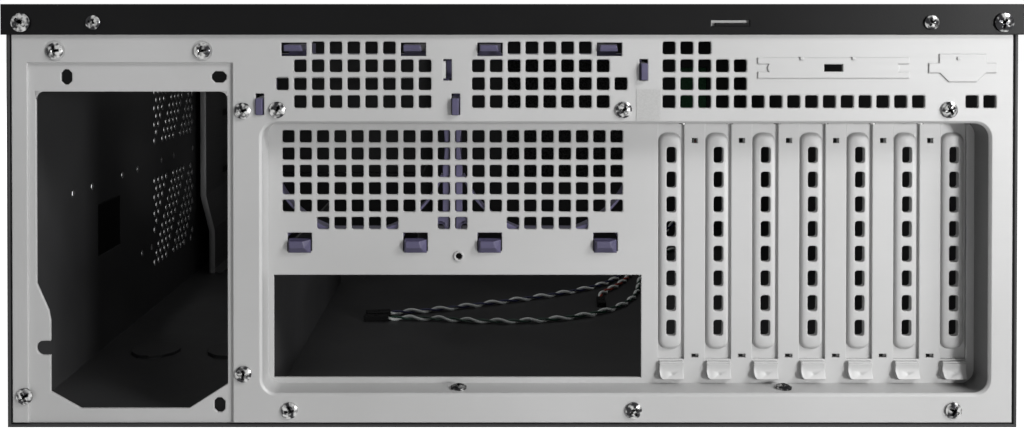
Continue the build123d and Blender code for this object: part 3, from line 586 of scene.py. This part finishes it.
def smooth_line(name, points):
    """The points along a route's smooth curve."""
    curve = bpy.data.curves.new(name, "CURVE")
    curve.dimensions = "3D"
    spline = curve.splines.new("NURBS")
    spline.points.add(len(points) - 1)
    for knot, point in zip(spline.points, points):
        knot.co = (*point, 1)
    spline.order_u = 3
    spline.use_endpoint_u = True
    spline.resolution_u = 22
    host = bpy.data.objects.new(name, curve)
    scene.collection.objects.link(host)
    graph = bpy.context.evaluated_depsgraph_get()
    line = bpy.data.meshes.new_from_object(host.evaluated_get(graph))
    found = [vertex.co.copy() for vertex in line.vertices]
    bpy.data.meshes.remove(line)
    bpy.data.objects.remove(host)
    return found


def twisted_pair(name, line, colour_finish, white_finish):
    """A mesh of two strands wound round a line."""
    shape = bmesh.new()
    side = Vector((0, 0, 1)).cross(line[1] - line[0]).normalized()
    frames, run = [], 0.0
    for index, here in enumerate(line):
        before, after = line[max(index - 1, 0)], line[min(index + 1, len(line) - 1)]
        along = (after - before).normalized()
        side = (side - along * side.dot(along)).normalized()
        run += (here - line[index - 1]).length if index else 0.0
        frames.append((here, side.copy(), along.cross(side), run))
    for strand, (radius, offset) in enumerate(STRANDS):
        rings = []
        for here, side, up, run in frames:
            phase = math.tau * run / TWIST_PITCH + math.pi * strand
            centre = here + (side * math.cos(phase) + up * math.sin(phase)) * offset
            rings.append([
                shape.verts.new(centre + (side * math.cos(a) + up * math.sin(a)) * radius)
                for a in (math.tau * step / STRAND_SIDES for step in range(STRAND_SIDES))
            ])
        for low, high in zip(rings, rings[1:]):
            for step in range(STRAND_SIDES):
                turn = (step + 1) % STRAND_SIDES
                face = shape.faces.new((low[step], low[turn], high[turn], high[step]))
                face.material_index = strand
                face.smooth = True
        for ring, flip in ((rings[0], True), (rings[-1], False)):
            cap = shape.faces.new(ring[::-1] if flip else ring)
            cap.material_index = strand
    form = mesh_of(shape, name, face_out=True)
    form.materials.append(colour_finish)
    form.materials.append(white_finish)
    return form


def box_mesh(low, high):
    """A closed box between two corners, in millimetres."""
    shape = bmesh.new()
    bmesh.ops.create_cube(shape, size=1.0)
    low, high = Vector(low) * MM, Vector(high) * MM
    for vertex in shape.verts:
        vertex.co = Vector(l + (c + 0.5) * (h - l) for l, c, h in zip(low, vertex.co, high))
    return mesh_of(shape, "box")


def joined(forms):
    """One mesh from several, which are then removed."""
    shape = bmesh.new()
    for form in forms:
        shape.from_mesh(form)
        bpy.data.meshes.remove(form)
    return mesh_of(shape, "joined")


def carved(name, solid, cutters, bevel=0.0):
    """A mesh with others cut out of it and its edges bevelled."""
    host = bpy.data.objects.new(name, solid)
    knife = bpy.data.objects.new(name + "_knife", cutters) if cutters else None
    scene.collection.objects.link(host)
    if knife:
        scene.collection.objects.link(knife)
        cut = host.modifiers.new("cut", "BOOLEAN")
        cut.operation = "DIFFERENCE"
        cut.use_self = True
        cut.object = knife
    if bevel:
        soft = host.modifiers.new("soft", "BEVEL")
        soft.width = bevel * MM
        soft.segments = 1
        soft.limit_method = "ANGLE"
        soft.angle_limit = math.radians(SHARP_TURN)
    form = plain_mesh(host, name)
    if knife:
        bpy.data.objects.remove(knife)
    return smoothed(form, 40)


def two_way_housing(name, first, second):
    """The black two-way socket at a lead's free end, from the first point backwards along the first run."""
    length, half_width, half_height, contact, groove = 14.0, 2.6, 1.45, 1.27, 1.8
    solid = box_mesh((-length, -half_width, -half_height), (0, half_width, half_height))
    cuts = []
    for y in (-contact, contact):
        cuts.append(box_mesh((-length - 0.5, y - 0.42, -0.42), (-3.0, y + 0.42, 0.42)))
        cuts.append(box_mesh((-8.6, y - 0.55, 1.0), (-6.0, y + 0.55, 2.0)))
    for z in (-groove, groove):
        cuts.append(box_mesh((-length - 1, -0.16, z - 0.5), (1, 0.16, z + 0.5)))
    form = carved(name, solid, joined(cuts), bevel=0.12)
    along = (second - first).normalized()
    turn = Matrix.Rotation(math.atan2(along.y, along.x), 4, "Z")
    form.transform(Matrix.Translation(first) @ turn)
    return form


socket_finish = black_sheet_finish("socket_black", (0.004, 0.004, 0.004), (0.008, 0.008, 0.008), 0.15)
for colour, route in LEAD_ROUTES.items():
    knots = case_points(route)
    line = smooth_line("route_" + colour, knots)
    strands = twisted_pair("pair", line, finishes[colour + "_wire"], finishes["white_wire"])
    pair = piece_from(f"twisted_lead_{colour}", strands, "chassis", colour + "_wire")
    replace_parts(pair, f"lead_{colour}")
    housing = two_way_housing("socket", knots[0], knots[1])
    socket = piece_from(f"socket_{colour}", housing, "chassis", "black_plastic", socket_finish)
    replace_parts(socket, f"plug_{colour}")


# Screws seen from the rear, in place of the plain ones
COVER_SCREWS = [(x, -223.9, 169.8) for x in (-204.8, -174.6, 174.6, 204.8)]
SUPPLY_SCREWS = [(-191.2, 158.0), (-129.6, 158.0), (-112.7, 132.9), (-112.7, 22.5), (-204.4, 13.1)]
TIE_SCREWS = [(-98.2, 133.3), (46.6, 133.3), (182.8, 133.3)]
LIP_SCREWS = [(-93.3, 7.2), (50.9, 7.2), (185.0, 7.2)]
RECESS_SCREWS = [(-22.6, -216.0, 14.2), (115.8, -216.0, 14.2)]
outer_screws = screws("cover_outer_screws", COVER_SCREWS[::3], REARWARD, "cover", radius=3.95, seed=3)
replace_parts(outer_screws, "cover_screws")
inner_screws = screws("cover_inner_screws", COVER_SCREWS[1:3], REARWARD, "cover", radius=3.0, seed=4)
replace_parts(inner_screws, "cover_screws")
panel_places = [(x, REAR_Y, z) for x, z in SUPPLY_SCREWS + TIE_SCREWS + LIP_SCREWS]
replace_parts(screws("panel_cross_screws", panel_places, REARWARD, "chassis", seed=5), "rear_panel_screws")
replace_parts(screws("recess_cross_screws", RECESS_SCREWS, UPWARD, "chassis", seed=7), "recess_screws")
slot_places = [(x + 4.0, -213.4, 129.6) for x in SLOT_XS]
screws("slot_cross_screws", slot_places, UPWARD, "chassis", radius=3.0, height=1.6, seed=9, length=3.0)


# Screws of the rack ears and handles
EAR_OUTER_X, EAR_BACK_Y = 214.1, 220.0
for side, facing, tag in ((-1, LEFTWARD, "left"), (1, RIGHTWARD, "right")):
    leg_places = [(side * EAR_OUTER_X, FRONT_Y - 30.0, z) for z in (28.0, 84.0, 140.0)]
    screws(f"ear_screws_{tag}", leg_places, facing, "chassis", radius=3.6, seed=11 + side)
    bar_places = [(side * (EAR_OUTER_X + 7.0), EAR_BACK_Y, z) for z in (42.5, 134.5)]
    screws(f"handle_screws_{tag}", bar_places, REARWARD, "chassis", radius=3.4, seed=14 + side, length=2.0)


# Building blocks of the smaller forms

def hull_mesh(points):
    """The smallest convex mesh round points in millimetres."""
    shape = bmesh.new()
    corners = [shape.verts.new(Vector(point) * MM) for point in points]
    found = bmesh.ops.convex_hull(shape, input=corners)
    unused = found["geom_interior"] + found["geom_unused"]
    spare = {item for item in unused if isinstance(item, bmesh.types.BMVert)}
    bmesh.ops.delete(shape, geom=list(spare), context="VERTS")
    return mesh_of(shape, "hull", face_out=True)


def hook(x0, x1, z0, z1, back, front, insets, slope):
    """A snap hook whose face is inset at both sides and slopes at its foot."""
    left, right_high, right_low = insets
    middle = z0 + 0.45 * (z1 - z0)
    return hull_mesh([
        (x0, back, z0), (x1, back, z0), (x0, back, z1), (x1, back, z1),
        (x0 + left, front, z1 - 0.3), (x1 - right_high, front, z1 - 0.3),
        (x0 + left, front, middle), (x1 - (right_high + right_low) / 2, front, middle),
        (x0 + left, front + slope, z0 + 0.2), (x1 - right_low, front + slope, z0 + 0.2),
    ])


def rounded(x0, x1, z0, z1, radius, y, steps=4):
    """The points of a rounded rectangle that stands at one place along y."""
    points = []
    corners = (
        (x1 - radius, z0 + radius, -90), (x1 - radius, z1 - radius, 0),
        (x0 + radius, z1 - radius, 90), (x0 + radius, z0 + radius, 180),
    )
    for middle_x, middle_z, start in corners:
        for step in range(steps + 1):
            angle = math.radians(start + 90 * step / steps)
            points.append((middle_x + radius * math.cos(angle), y, middle_z + radius * math.sin(angle)))
    return points


def loft(outlines, ring=False):
    """A mesh through outlines of the same number of points; a ring also joins the last to the first."""
    shape = bmesh.new()
    loops = [[shape.verts.new(Vector(point) * MM) for point in outline] for outline in outlines]
    pairs = list(zip(loops, loops[1:])) + ([(loops[-1], loops[0])] if ring else [])
    for low, high in pairs:
        for step in range(len(low)):
            turn = (step + 1) % len(low)
            shape.faces.new((low[step], low[turn], high[turn], high[step]))
    if not ring:
        shape.faces.new(loops[0])
        shape.faces.new(loops[-1][::-1])
    return mesh_of(shape, "loft", face_out=True)


def ring_mesh(centre, radius, wall, y0, y1, start=0.0, stop=math.tau, steps=48):
    """A flat ring, or a part of one, that stands between two places along y."""
    closed = math.isclose(stop - start, math.tau)
    corners = ((radius, y0), (radius + wall, y0), (radius + wall, y1), (radius, y1))
    outlines = []
    for step in range(steps + (0 if closed else 1)):
        angle = start + (stop - start) * step / steps
        across, up = math.cos(angle), math.sin(angle)
        outlines.append([(centre[0] + across * r, y, centre[1] + up * r) for r, y in corners])
    return loft(outlines, ring=closed)


def copies_tree():
    """One copy of a template on every point."""
    tree = Tree("copies", [("Template", "NodeSocketObject", None), ("Finish", "NodeSocketMaterial", None)])
    model = tree.add("GeometryNodeObjectInfo", Object=tree.given["Template"]).outputs["Geometry"]
    placed = tree.add("GeometryNodeInstanceOnPoints", Points=tree.given["Geometry"], Instance=model)
    return tree.close(placed.outputs[0], tree.given["Finish"])


shared_copies_tree = copies_tree()


def copies(name, form, places, body, finish_name):
    """A piece made of copies of a form at places in millimetres."""
    template = bpy.data.objects.new(name + "_template", form)
    scene.collection.objects.link(template)
    sizes = {"Template": template, "Finish": finishes[finish_name]}
    whole = grown(name, points_mesh(places), shared_copies_tree, sizes)
    bpy.data.objects.remove(template)
    return piece_from(name, whole, body, finish_name)


# Slot covers with a pillowed ridge and rounded holes, in a row
COVER_HALF_WIDTH = 9.2
COVER_FACE_Y, COVER_BACK_Y = -208.3, -207.4
COVER_FOOT_Z, COVER_TOP_Z = 17.0, 129.6
TAB_FOOT_Z, TAB_LENGTH = 128.7, 11.0
HOLE_TOP_Z, HOLE_PITCH, HOLE_COUNT = 112.9, 10.671, 8
HOLE_HALF_WIDTH, HOLE_HALF_HEIGHT, HOLE_ROUNDING = 2.1, 3.5, 1.25


def slot_cover_form():
    """One slot cover round its own middle line."""
    left, right = -COVER_HALF_WIDTH, COVER_HALF_WIDTH
    plate = box_mesh((left, COVER_FACE_Y, COVER_FOOT_Z), (right, COVER_BACK_Y, COVER_TOP_Z))
    tab = box_mesh((left, COVER_BACK_Y - TAB_LENGTH, TAB_FOOT_Z), (right, COVER_BACK_Y, COVER_TOP_Z))
    ridge = loft([
        rounded(-5.4, 4.7, 28.6, 122.6, 3.8, -207.8), rounded(-5.1, 4.5, 29.0, 122.2, 3.6, -208.9),
        rounded(-4.5, 4.2, 29.6, 121.6, 3.3, -209.75), rounded(-3.7, 3.8, 30.4, 120.8, 2.8, -210.05),
    ])
    cuts = []
    for index in range(HOLE_COUNT):
        z = HOLE_TOP_Z - HOLE_PITCH * index
        low, high = z - HOLE_HALF_HEIGHT, z + HOLE_HALF_HEIGHT
        cuts.append(loft([
            rounded(-HOLE_HALF_WIDTH, HOLE_HALF_WIDTH, low, high, HOLE_ROUNDING, y)
            for y in (-212.0, -205.0)
        ]))
    form = carved("slot_cover", joined([plate, ridge]), joined(cuts))
    return smoothed(joined([form, tab]), 50)


slot_lines = [(x, 0, 0) for x in SLOT_XS]
covers = copies("slot_covers", slot_cover_form(), slot_lines, "chassis", "galvanised_sheet")
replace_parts(covers, *[f"slot_cover_{index}" for index in range(1, 8)])


# Rounded liners of the square vents; in the rows an o is an open vent and a dot is plain sheet
VENT_PITCH, VENT_ROW_PITCH = 7.46, 7.5
VENT_FIRST_X = FAN_XS[0] - 4 * VENT_PITCH
UPPER_VENTS_Z, RECESS_VENTS_Z = 159.2, 120.9
FAN_ROWS = ["..ooooo..", ".oooooooo", "ooooooooo", ".oooooooo"]
SIDE_ROWS = ["ooo", "ooooo", "ooooo", "ooooooooooooooo..oo"]
RECESS_ROWS = 5 * ["oooooooooooooooooooo"] + ["..ooooo..oo..ooooo.."]


def vent_centres(first_x, top_z, rows, y):
    """The middle of each open vent."""
    return [
        (first_x + column * VENT_PITCH, y, top_z - row * VENT_ROW_PITCH)
        for row, marks in enumerate(rows) for column, mark in enumerate(marks) if mark == "o"
    ]


def liner_form(half, radius, y0, y1, lip):
    """A thin sleeve with a rounded inside and a chamfered mouth."""
    def inside(inset, y):
        """The rounded square of the sleeve's inside at one place along y."""
        return rounded(-half + inset, half - inset, -half + inset, half - inset, radius, y)

    edge = half + 0.05
    outer = [
        (math.copysign(edge, x), y, math.copysign(edge, z)) for x, y, z in rounded(-1, 1, -1, 1, 0.9, y0)
    ]
    back = [(x, y1, z) for x, y, z in outer]
    return loft([back, outer, inside(lip * 0.2, y0), inside(lip, y0 + 0.35), inside(lip, y1)], ring=True)


upper_vents = (
    vent_centres(VENT_FIRST_X, UPPER_VENTS_Z, FAN_ROWS, REAR_Y)
    + vent_centres(VENT_FIRST_X + 11 * VENT_PITCH, UPPER_VENTS_Z, [row[::-1] for row in FAN_ROWS], REAR_Y)
    + vent_centres(65.6, UPPER_VENTS_Z, SIDE_ROWS, REAR_Y)
)
recess_vents = vent_centres(VENT_FIRST_X, RECESS_VENTS_Z, RECESS_ROWS, RECESS_Y)
liner = liner_form(half=2.775, radius=0.85, y0=-0.03, y1=SHEET, lip=0.12)
copies("vent_liners", liner, upper_vents + recess_vents, "chassis", "galvanised_sheet")


# Fan holders: the copies keep the walls and lose the plain clips, which get the shape of snap hooks
CLIP_OFFSET = 25.0
SCREW_RING_OFFSET, SCREW_RING_Z = 35.75, 81.25


def dressed_holder(name, centre, reach):
    """A fan holder whose hooks stand out of the sheets by the reach, with a ring in place of its plate, and
    its frame behind the sheets in a darker purple as painted shade.
    """
    solid = nodes[name].data.copy()
    solid.materials.clear()
    before_sheet = box_mesh((centre - 60, -230, 60), (centre + 60, RECESS_Y + 0.6, 180))
    plain_plate = box_mesh((centre - 36.8, -208.6, 88), (centre + 36.8, -206.0, 153.8))
    clips = [
        box_mesh((x - 4.95, -209.6, 76.4), (x + 4.95, -197.0, 79.4))
        for x in (centre - CLIP_OFFSET, centre + CLIP_OFFSET)
    ]
    behind = carved(name + "_frame", solid, joined([before_sheet, plain_plate] + clips))
    # Painted shade: the frame behind the sheets takes the darker purple
    for face in behind.polygons:
        face.material_index = 1
    face_y = REAR_Y - reach
    parts = [behind]
    for side in (-1, 1):
        x = centre + side * CLIP_OFFSET
        ring_x = centre + side * SCREW_RING_OFFSET
        parts += [
            hook(x - 4.4, x + 4.9, 157.6, 160.7, -209.0, face_y, (0.3, 2.2, 1.6), 0.5),
            hook(x - 4.9, x + 4.9, 70.6, 76.3, -209.5, RECESS_Y - 2.9, (0.9, 3.2, 1.6), 1.9),
            hook(x - 4.0, x + 4.0, 72.1, 75.5, -207.0, -209.4, (0.1, 0.1, 0.1), 0.0),
            ring_mesh((ring_x, SCREW_RING_Z), 1.7, 1.2, -208.3, -203.0, steps=20),
        ]
    left_y = REAR_Y - max(reach, 1.2)
    arc = (math.radians(200), math.radians(340))
    parts.append(ring_mesh((centre, FAN_Z), 38.2, 1.1, -208.2, -200.0, *arc))
    parts.append(hook(centre - 41.0, centre - 37.6, 131.0, 138.4, -209.0, left_y, (0.2, 0.5, 0.5), 0.3))
    if reach > 1:
        parts.append(hook(centre + 37.9, centre + 41.2, 145.6, 153.0, -209.0, face_y, (0.2, 0.5, 0.5), 0.3))
    form = joined(parts)
    form.name = name
    for face in form.polygons:
        face.use_smooth = False
    piece = piece_from("dressed_" + name, form, "chassis", "purple_plastic")
    form.materials.append(finishes["purple_painted_shade"])
    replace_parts(piece, name)


dressed_holder("fan_holder_left", FAN_XS[0], 0.4)
dressed_holder("fan_holder_right", FAN_XS[1], 2.2)
side_strip = box_mesh((-29.3, -222.4, 146.4), (-27.9, -209.0, 153.6))
piece_from("holder_side_strip", side_strip, "chassis", "galvanised_sheet")


# Perforations of the left wall
WALL_X = -211.0
FIELD_RADIUS, RAIL_RADIUS = 2.2, 1.95
FIELD_ROWS, FIELD_COLUMNS = 11, 12
FIELD_START, FIELD_END = 188.0, 270
FIELD_TOPS_AND_PHASES = ((150.4, 235.0), (76.8, 220.0))
RAIL_DEPTHS = ((88.0, (66, 90, 133, 158, 201, 226, 268)), (38.0, (165, 182)))


def perforated_tree():
    """A sheet with a many-sided hole through it at every place of another object, along x."""
    tree = Tree("perforated", [
        ("Places", "NodeSocketObject", None),
        ("Hole Radius", "NodeSocketFloat", FIELD_RADIUS * MM),
        ("Hole Depth", "NodeSocketFloat", 8 * MM),
        ("Finish", "NodeSocketMaterial", None),
    ])
    radius, depth = tree.given["Hole Radius"], tree.given["Hole Depth"]
    punch = tree.add("GeometryNodeMeshCylinder", Vertices=12, Radius=radius, Depth=depth).outputs["Mesh"]
    lying = tree.add("GeometryNodeTransform", Geometry=punch, Rotation=RIGHTWARD).outputs[0]
    centres = tree.add("GeometryNodeObjectInfo", Object=tree.given["Places"]).outputs["Geometry"]
    punches = tree.add("GeometryNodeInstanceOnPoints", Points=centres, Instance=lying).outputs[0]
    cutters = tree.add("GeometryNodeRealizeInstances", Geometry=punches).outputs[0]
    sheet = tree.given["Geometry"]
    cut = tree.add("GeometryNodeMeshBoolean", {"operation": "DIFFERENCE"}, n0=sheet, n1=cutters)
    return tree.close(cut.outputs["Mesh"], tree.given["Finish"])


def wall_field(top_z, phase):
    """Holes in staggered rows, with one left out wherever a slanting web crosses a row."""
    pitch, row_pitch, shift, web_spacing = 7.5, 4.92, 3.8, 37.0
    places = []
    for row in range(FIELD_ROWS):
        web = phase - shift * row
        for column in range(FIELD_COLUMNS):
            depth = FIELD_START + pitch * (column + 0.5 * (row % 2))
            off = (depth - web + web_spacing / 2) % web_spacing - web_spacing / 2
            if abs(off) > pitch / 2 and depth < FIELD_END:
                places.append((WALL_X, REAR_Y + depth, top_z - row_pitch * row))
    return places


def perforated_pan():
    """The pan with its two fields of holes and its rows of rail holes."""
    whole = bmesh.new()
    whole.from_mesh(nodes["base_pan"].data)
    bmesh.ops.remove_doubles(whole, verts=whole.verts, dist=0.000001)
    form = mesh_of(whole, "pan_sheet")
    rail_holes = [(WALL_X, REAR_Y + depth, z) for z, depths in RAIL_DEPTHS for depth in depths]
    fields = [place for top_z, phase in FIELD_TOPS_AND_PHASES for place in wall_field(top_z, phase)]
    tree = perforated_tree()
    for places, radius in ((fields, FIELD_RADIUS), (rail_holes, RAIL_RADIUS)):
        centres = bpy.data.objects.new("wall_holes", points_mesh(places))
        scene.collection.objects.link(centres)
        sizes = {"Places": centres, "Hole Radius": radius * MM, "Finish": finishes["black_sheet"]}
        form = grown("perforated_pan", form, tree, sizes)
        bpy.data.objects.remove(centres)
    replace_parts(piece_from("perforated_pan", form, "chassis", "black_sheet"), "base_pan")


perforated_pan()


# Rolled hem of the cage's left rear edge, where the sheet is folded back on itself
JOGGLE_TOP_Z, JOGGLE_FOOT_Z, JOGGLE = 54.7, 30.6, 6.0
HEM_HALF_WIDTH, HEM_HALF_DEPTH = 2.0, 0.6


def cage_hem():
    """The hem follows the joggle of the cage's left wall."""
    cage_low, cage_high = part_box("drive_cage")
    left, rear = cage_low[0] / MM, cage_low[1] / MM
    line = [
        (left, cage_high[2] / MM - 1.0), (left, JOGGLE_TOP_Z),
        (left + JOGGLE, JOGGLE_FOOT_Z), (left + JOGGLE, 1.4),
    ]
    angles = [math.tau * step / 12 for step in range(12)]
    outlines = []
    for x, z in line:
        centre_x, centre_y = x + HEM_HALF_WIDTH, rear - HEM_HALF_DEPTH
        outlines.append([
            (centre_x + HEM_HALF_WIDTH * math.cos(a), centre_y + HEM_HALF_DEPTH * math.sin(a), z)
            for a in angles
        ])
    # Painted shade: the hem takes a dimmed copy of the galvanised finish for the shade inside the case,
    # still lighter than the cage
    shaded_zinc = galvanised_finish("hem_sheet_painted_shade", (0.19, 0.19, 0.192), (0.25, 0.25, 0.252))
    piece_from("cage_hem", smoothed(loft(outlines), 50), "chassis", "galvanised_sheet", shaded_zinc)


cage_hem()


# Small forms of the rear sheet
GUIDE_HOLE = (-22.6, 69.2)
NIB_XS, NIB_Z = (121.0, 142.8, 186.6), 154.6
OPENING_LEFT_X, OPENING_RIGHT_X, OPENING_TOP_Z = -199.9, -119.5, 140.85
SCOOP_SIDES = ((-5.2, 18.4), (-4.9, 17.2), (-4.2, 16.3), (-3.2, 15.8), (5.15, 15.8))


def ball_mesh(centre, radius):
    """A small ball, in millimetres."""
    shape = bmesh.new()
    place = Matrix.Translation(Vector(centre) * MM)
    bmesh.ops.create_icosphere(shape, subdivisions=2, radius=radius * MM, matrix=place)
    return mesh_of(shape, "ball")


def scoop_form():
    """The pressed pocket round a slot cover's foot: a lip above, a hollow face, a full foot and a dent."""
    outlines = [
        [
            (x, -209.4, 24.0), (x, -211.5, 23.1), (x, -211.0, 20.2),
            (x, -212.5, max(16.6, low + 0.4)), (x, -209.4, low),
        ]
        for x, low in SCOOP_SIDES
    ]
    return carved("scoop", loft(outlines), ball_mesh((0.0, -213.1, 19.4), 1.9))


def corner_web(x, side):
    """A rounded upper corner of the power supply's opening."""
    radius, back_y, front_y, overlap = 3.2, REAR_Y + 2 * SHEET, REAR_Y + SHEET, 0.3
    arc = [
        (x + side * radius * (1 - math.cos(a)), OPENING_TOP_Z - radius * (1 - math.sin(a)))
        for a in (math.radians(90 * step / 6) for step in range(7))
    ]
    outline = [(x - side * overlap, OPENING_TOP_Z + overlap)] + arc
    return loft([[(px, y, pz) for px, pz in outline] for y in (front_y, back_y)])


def sheet_details():
    """The lip of the guide hole, rings round two screws, nibs of a knock-out and two rounded corners."""
    parts = [ring_mesh(GUIDE_HOLE, 1.45, 0.75, RECESS_Y - 0.7, RECESS_Y + 0.4, steps=24)]
    for place in SUPPLY_SCREWS[:2]:
        parts.append(ring_mesh(place, 3.9, 0.5, REAR_Y - 0.12, REAR_Y, steps=32))
    for x in NIB_XS:
        parts.append(hull_mesh([
            (x + dx, REAR_Y + dy, NIB_Z + dz)
            for dx in (-0.8, 0.8) for dz in (-0.5, 0.9) for dy in (0.1, -0.75)
        ]))
    parts += [corner_web(OPENING_LEFT_X, 1), corner_web(OPENING_RIGHT_X, -1)]
    piece_from("sheet_details", joined(parts), "chassis", "galvanised_sheet")


sheet_details()
copies("slot_scoops", scoop_form(), slot_lines, "chassis", "galvanised_sheet")
slit_box = box_mesh((84.4, -223.75, 168.2), (98.9, -222.8, 169.65))
piece_from("slit_tab", carved("slit_tab", slit_box, None, bevel=0.1), "cover", "black_sheet", lid_finish)
label_box = box_mesh((51.9, REAR_Y - 0.15, 128.8), (62.0, REAR_Y, 142.0))
piece_from("blank_label", carved("blank_label", label_box, None), "chassis", None, finishes["plain_label"])


# Floor, sky and lamps

def seen_directly(tree, hidden, shown):
    """One value for camera, mirror and glass rays, another for the light that falls on things."""
    rays = tree.nodes.new("ShaderNodeLightPath")
    total = rays.outputs["Is Camera Ray"]
    for label in ("Is Glossy Ray", "Is Transmission Ray"):
        larger = tree.nodes.new("ShaderNodeMath")
        larger.operation = "MAXIMUM"
        tree.links.new(total, larger.inputs[0])
        tree.links.new(rays.outputs[label], larger.inputs[1])
        total = larger.outputs[0]
    span = tree.nodes.new("ShaderNodeMapRange")
    span.inputs["To Min"].default_value = hidden
    span.inputs["To Max"].default_value = shown
    tree.links.new(total, span.inputs["Value"])
    return span.outputs["Result"]


def studio_floor():
    """A plain white floor that keeps the case's shadow."""
    form = bpy.data.meshes.new("studio_floor")
    form.from_pydata([(-6, -6, 0), (6, -6, 0), (6, 6, 0), (-6, 6, 0)], [], [(0, 1, 2, 3)])
    floor = bpy.data.objects.new("studio_floor", form)
    scene.collection.objects.link(floor)
    paint = bpy.data.materials.new("studio_floor")
    paint.use_nodes = True
    tree = paint.node_tree
    shader = tree.nodes["Principled BSDF"]
    shader.inputs["Base Color"].default_value = (0.5, 0.5, 0.5, 1)
    shader.inputs["Roughness"].default_value = 0.9
    shader.inputs["Emission Color"].default_value = (1, 1, 1, 1)
    tree.links.new(seen_directly(tree, 0.0, 0.95), shader.inputs["Emission Strength"])
    form.materials.append(paint)


def studio_sky():
    """White where it is seen, dimmer as a light."""
    world = bpy.data.worlds.new("studio_sky")
    world.use_nodes = True
    tree = world.node_tree
    sky = tree.nodes["Background"]
    sky.inputs["Color"].default_value = (1, 1, 1, 1)
    tree.links.new(seen_directly(tree, 0.03, 1.0), sky.inputs["Strength"])
    scene.world = world


def lamp(name, place, target, size, power):
    """A soft square lamp that faces a point."""
    data = bpy.data.lights.new(name, "AREA")
    data.shape = "SQUARE"
    data.size = size
    data.energy = power
    light = bpy.data.objects.new(name, data)
    light.location = place
    light.rotation_euler = (Vector(target) - Vector(place)).to_track_quat("-Z", "Y").to_euler()
    scene.collection.objects.link(light)


studio_floor()
studio_sky()
lamp("key_lamp", (1.55, -1.17, 1.33), (0.05, -0.22, 0.08), size=0.58, power=31)
lamp("side_lamp", (0.80, -1.10, 0.19), (0.05, -0.22, 0.10), size=0.16, power=7.5)
lamp("front_lamp", (-1.0, 1.6, 1.2), (0.0, 0.2, 0.08), size=1.0, power=16)
lamp("inner_lamp", (0.0, -0.02, 0.168), (0.0, -0.02, 0.0), size=0.36, power=0.14)
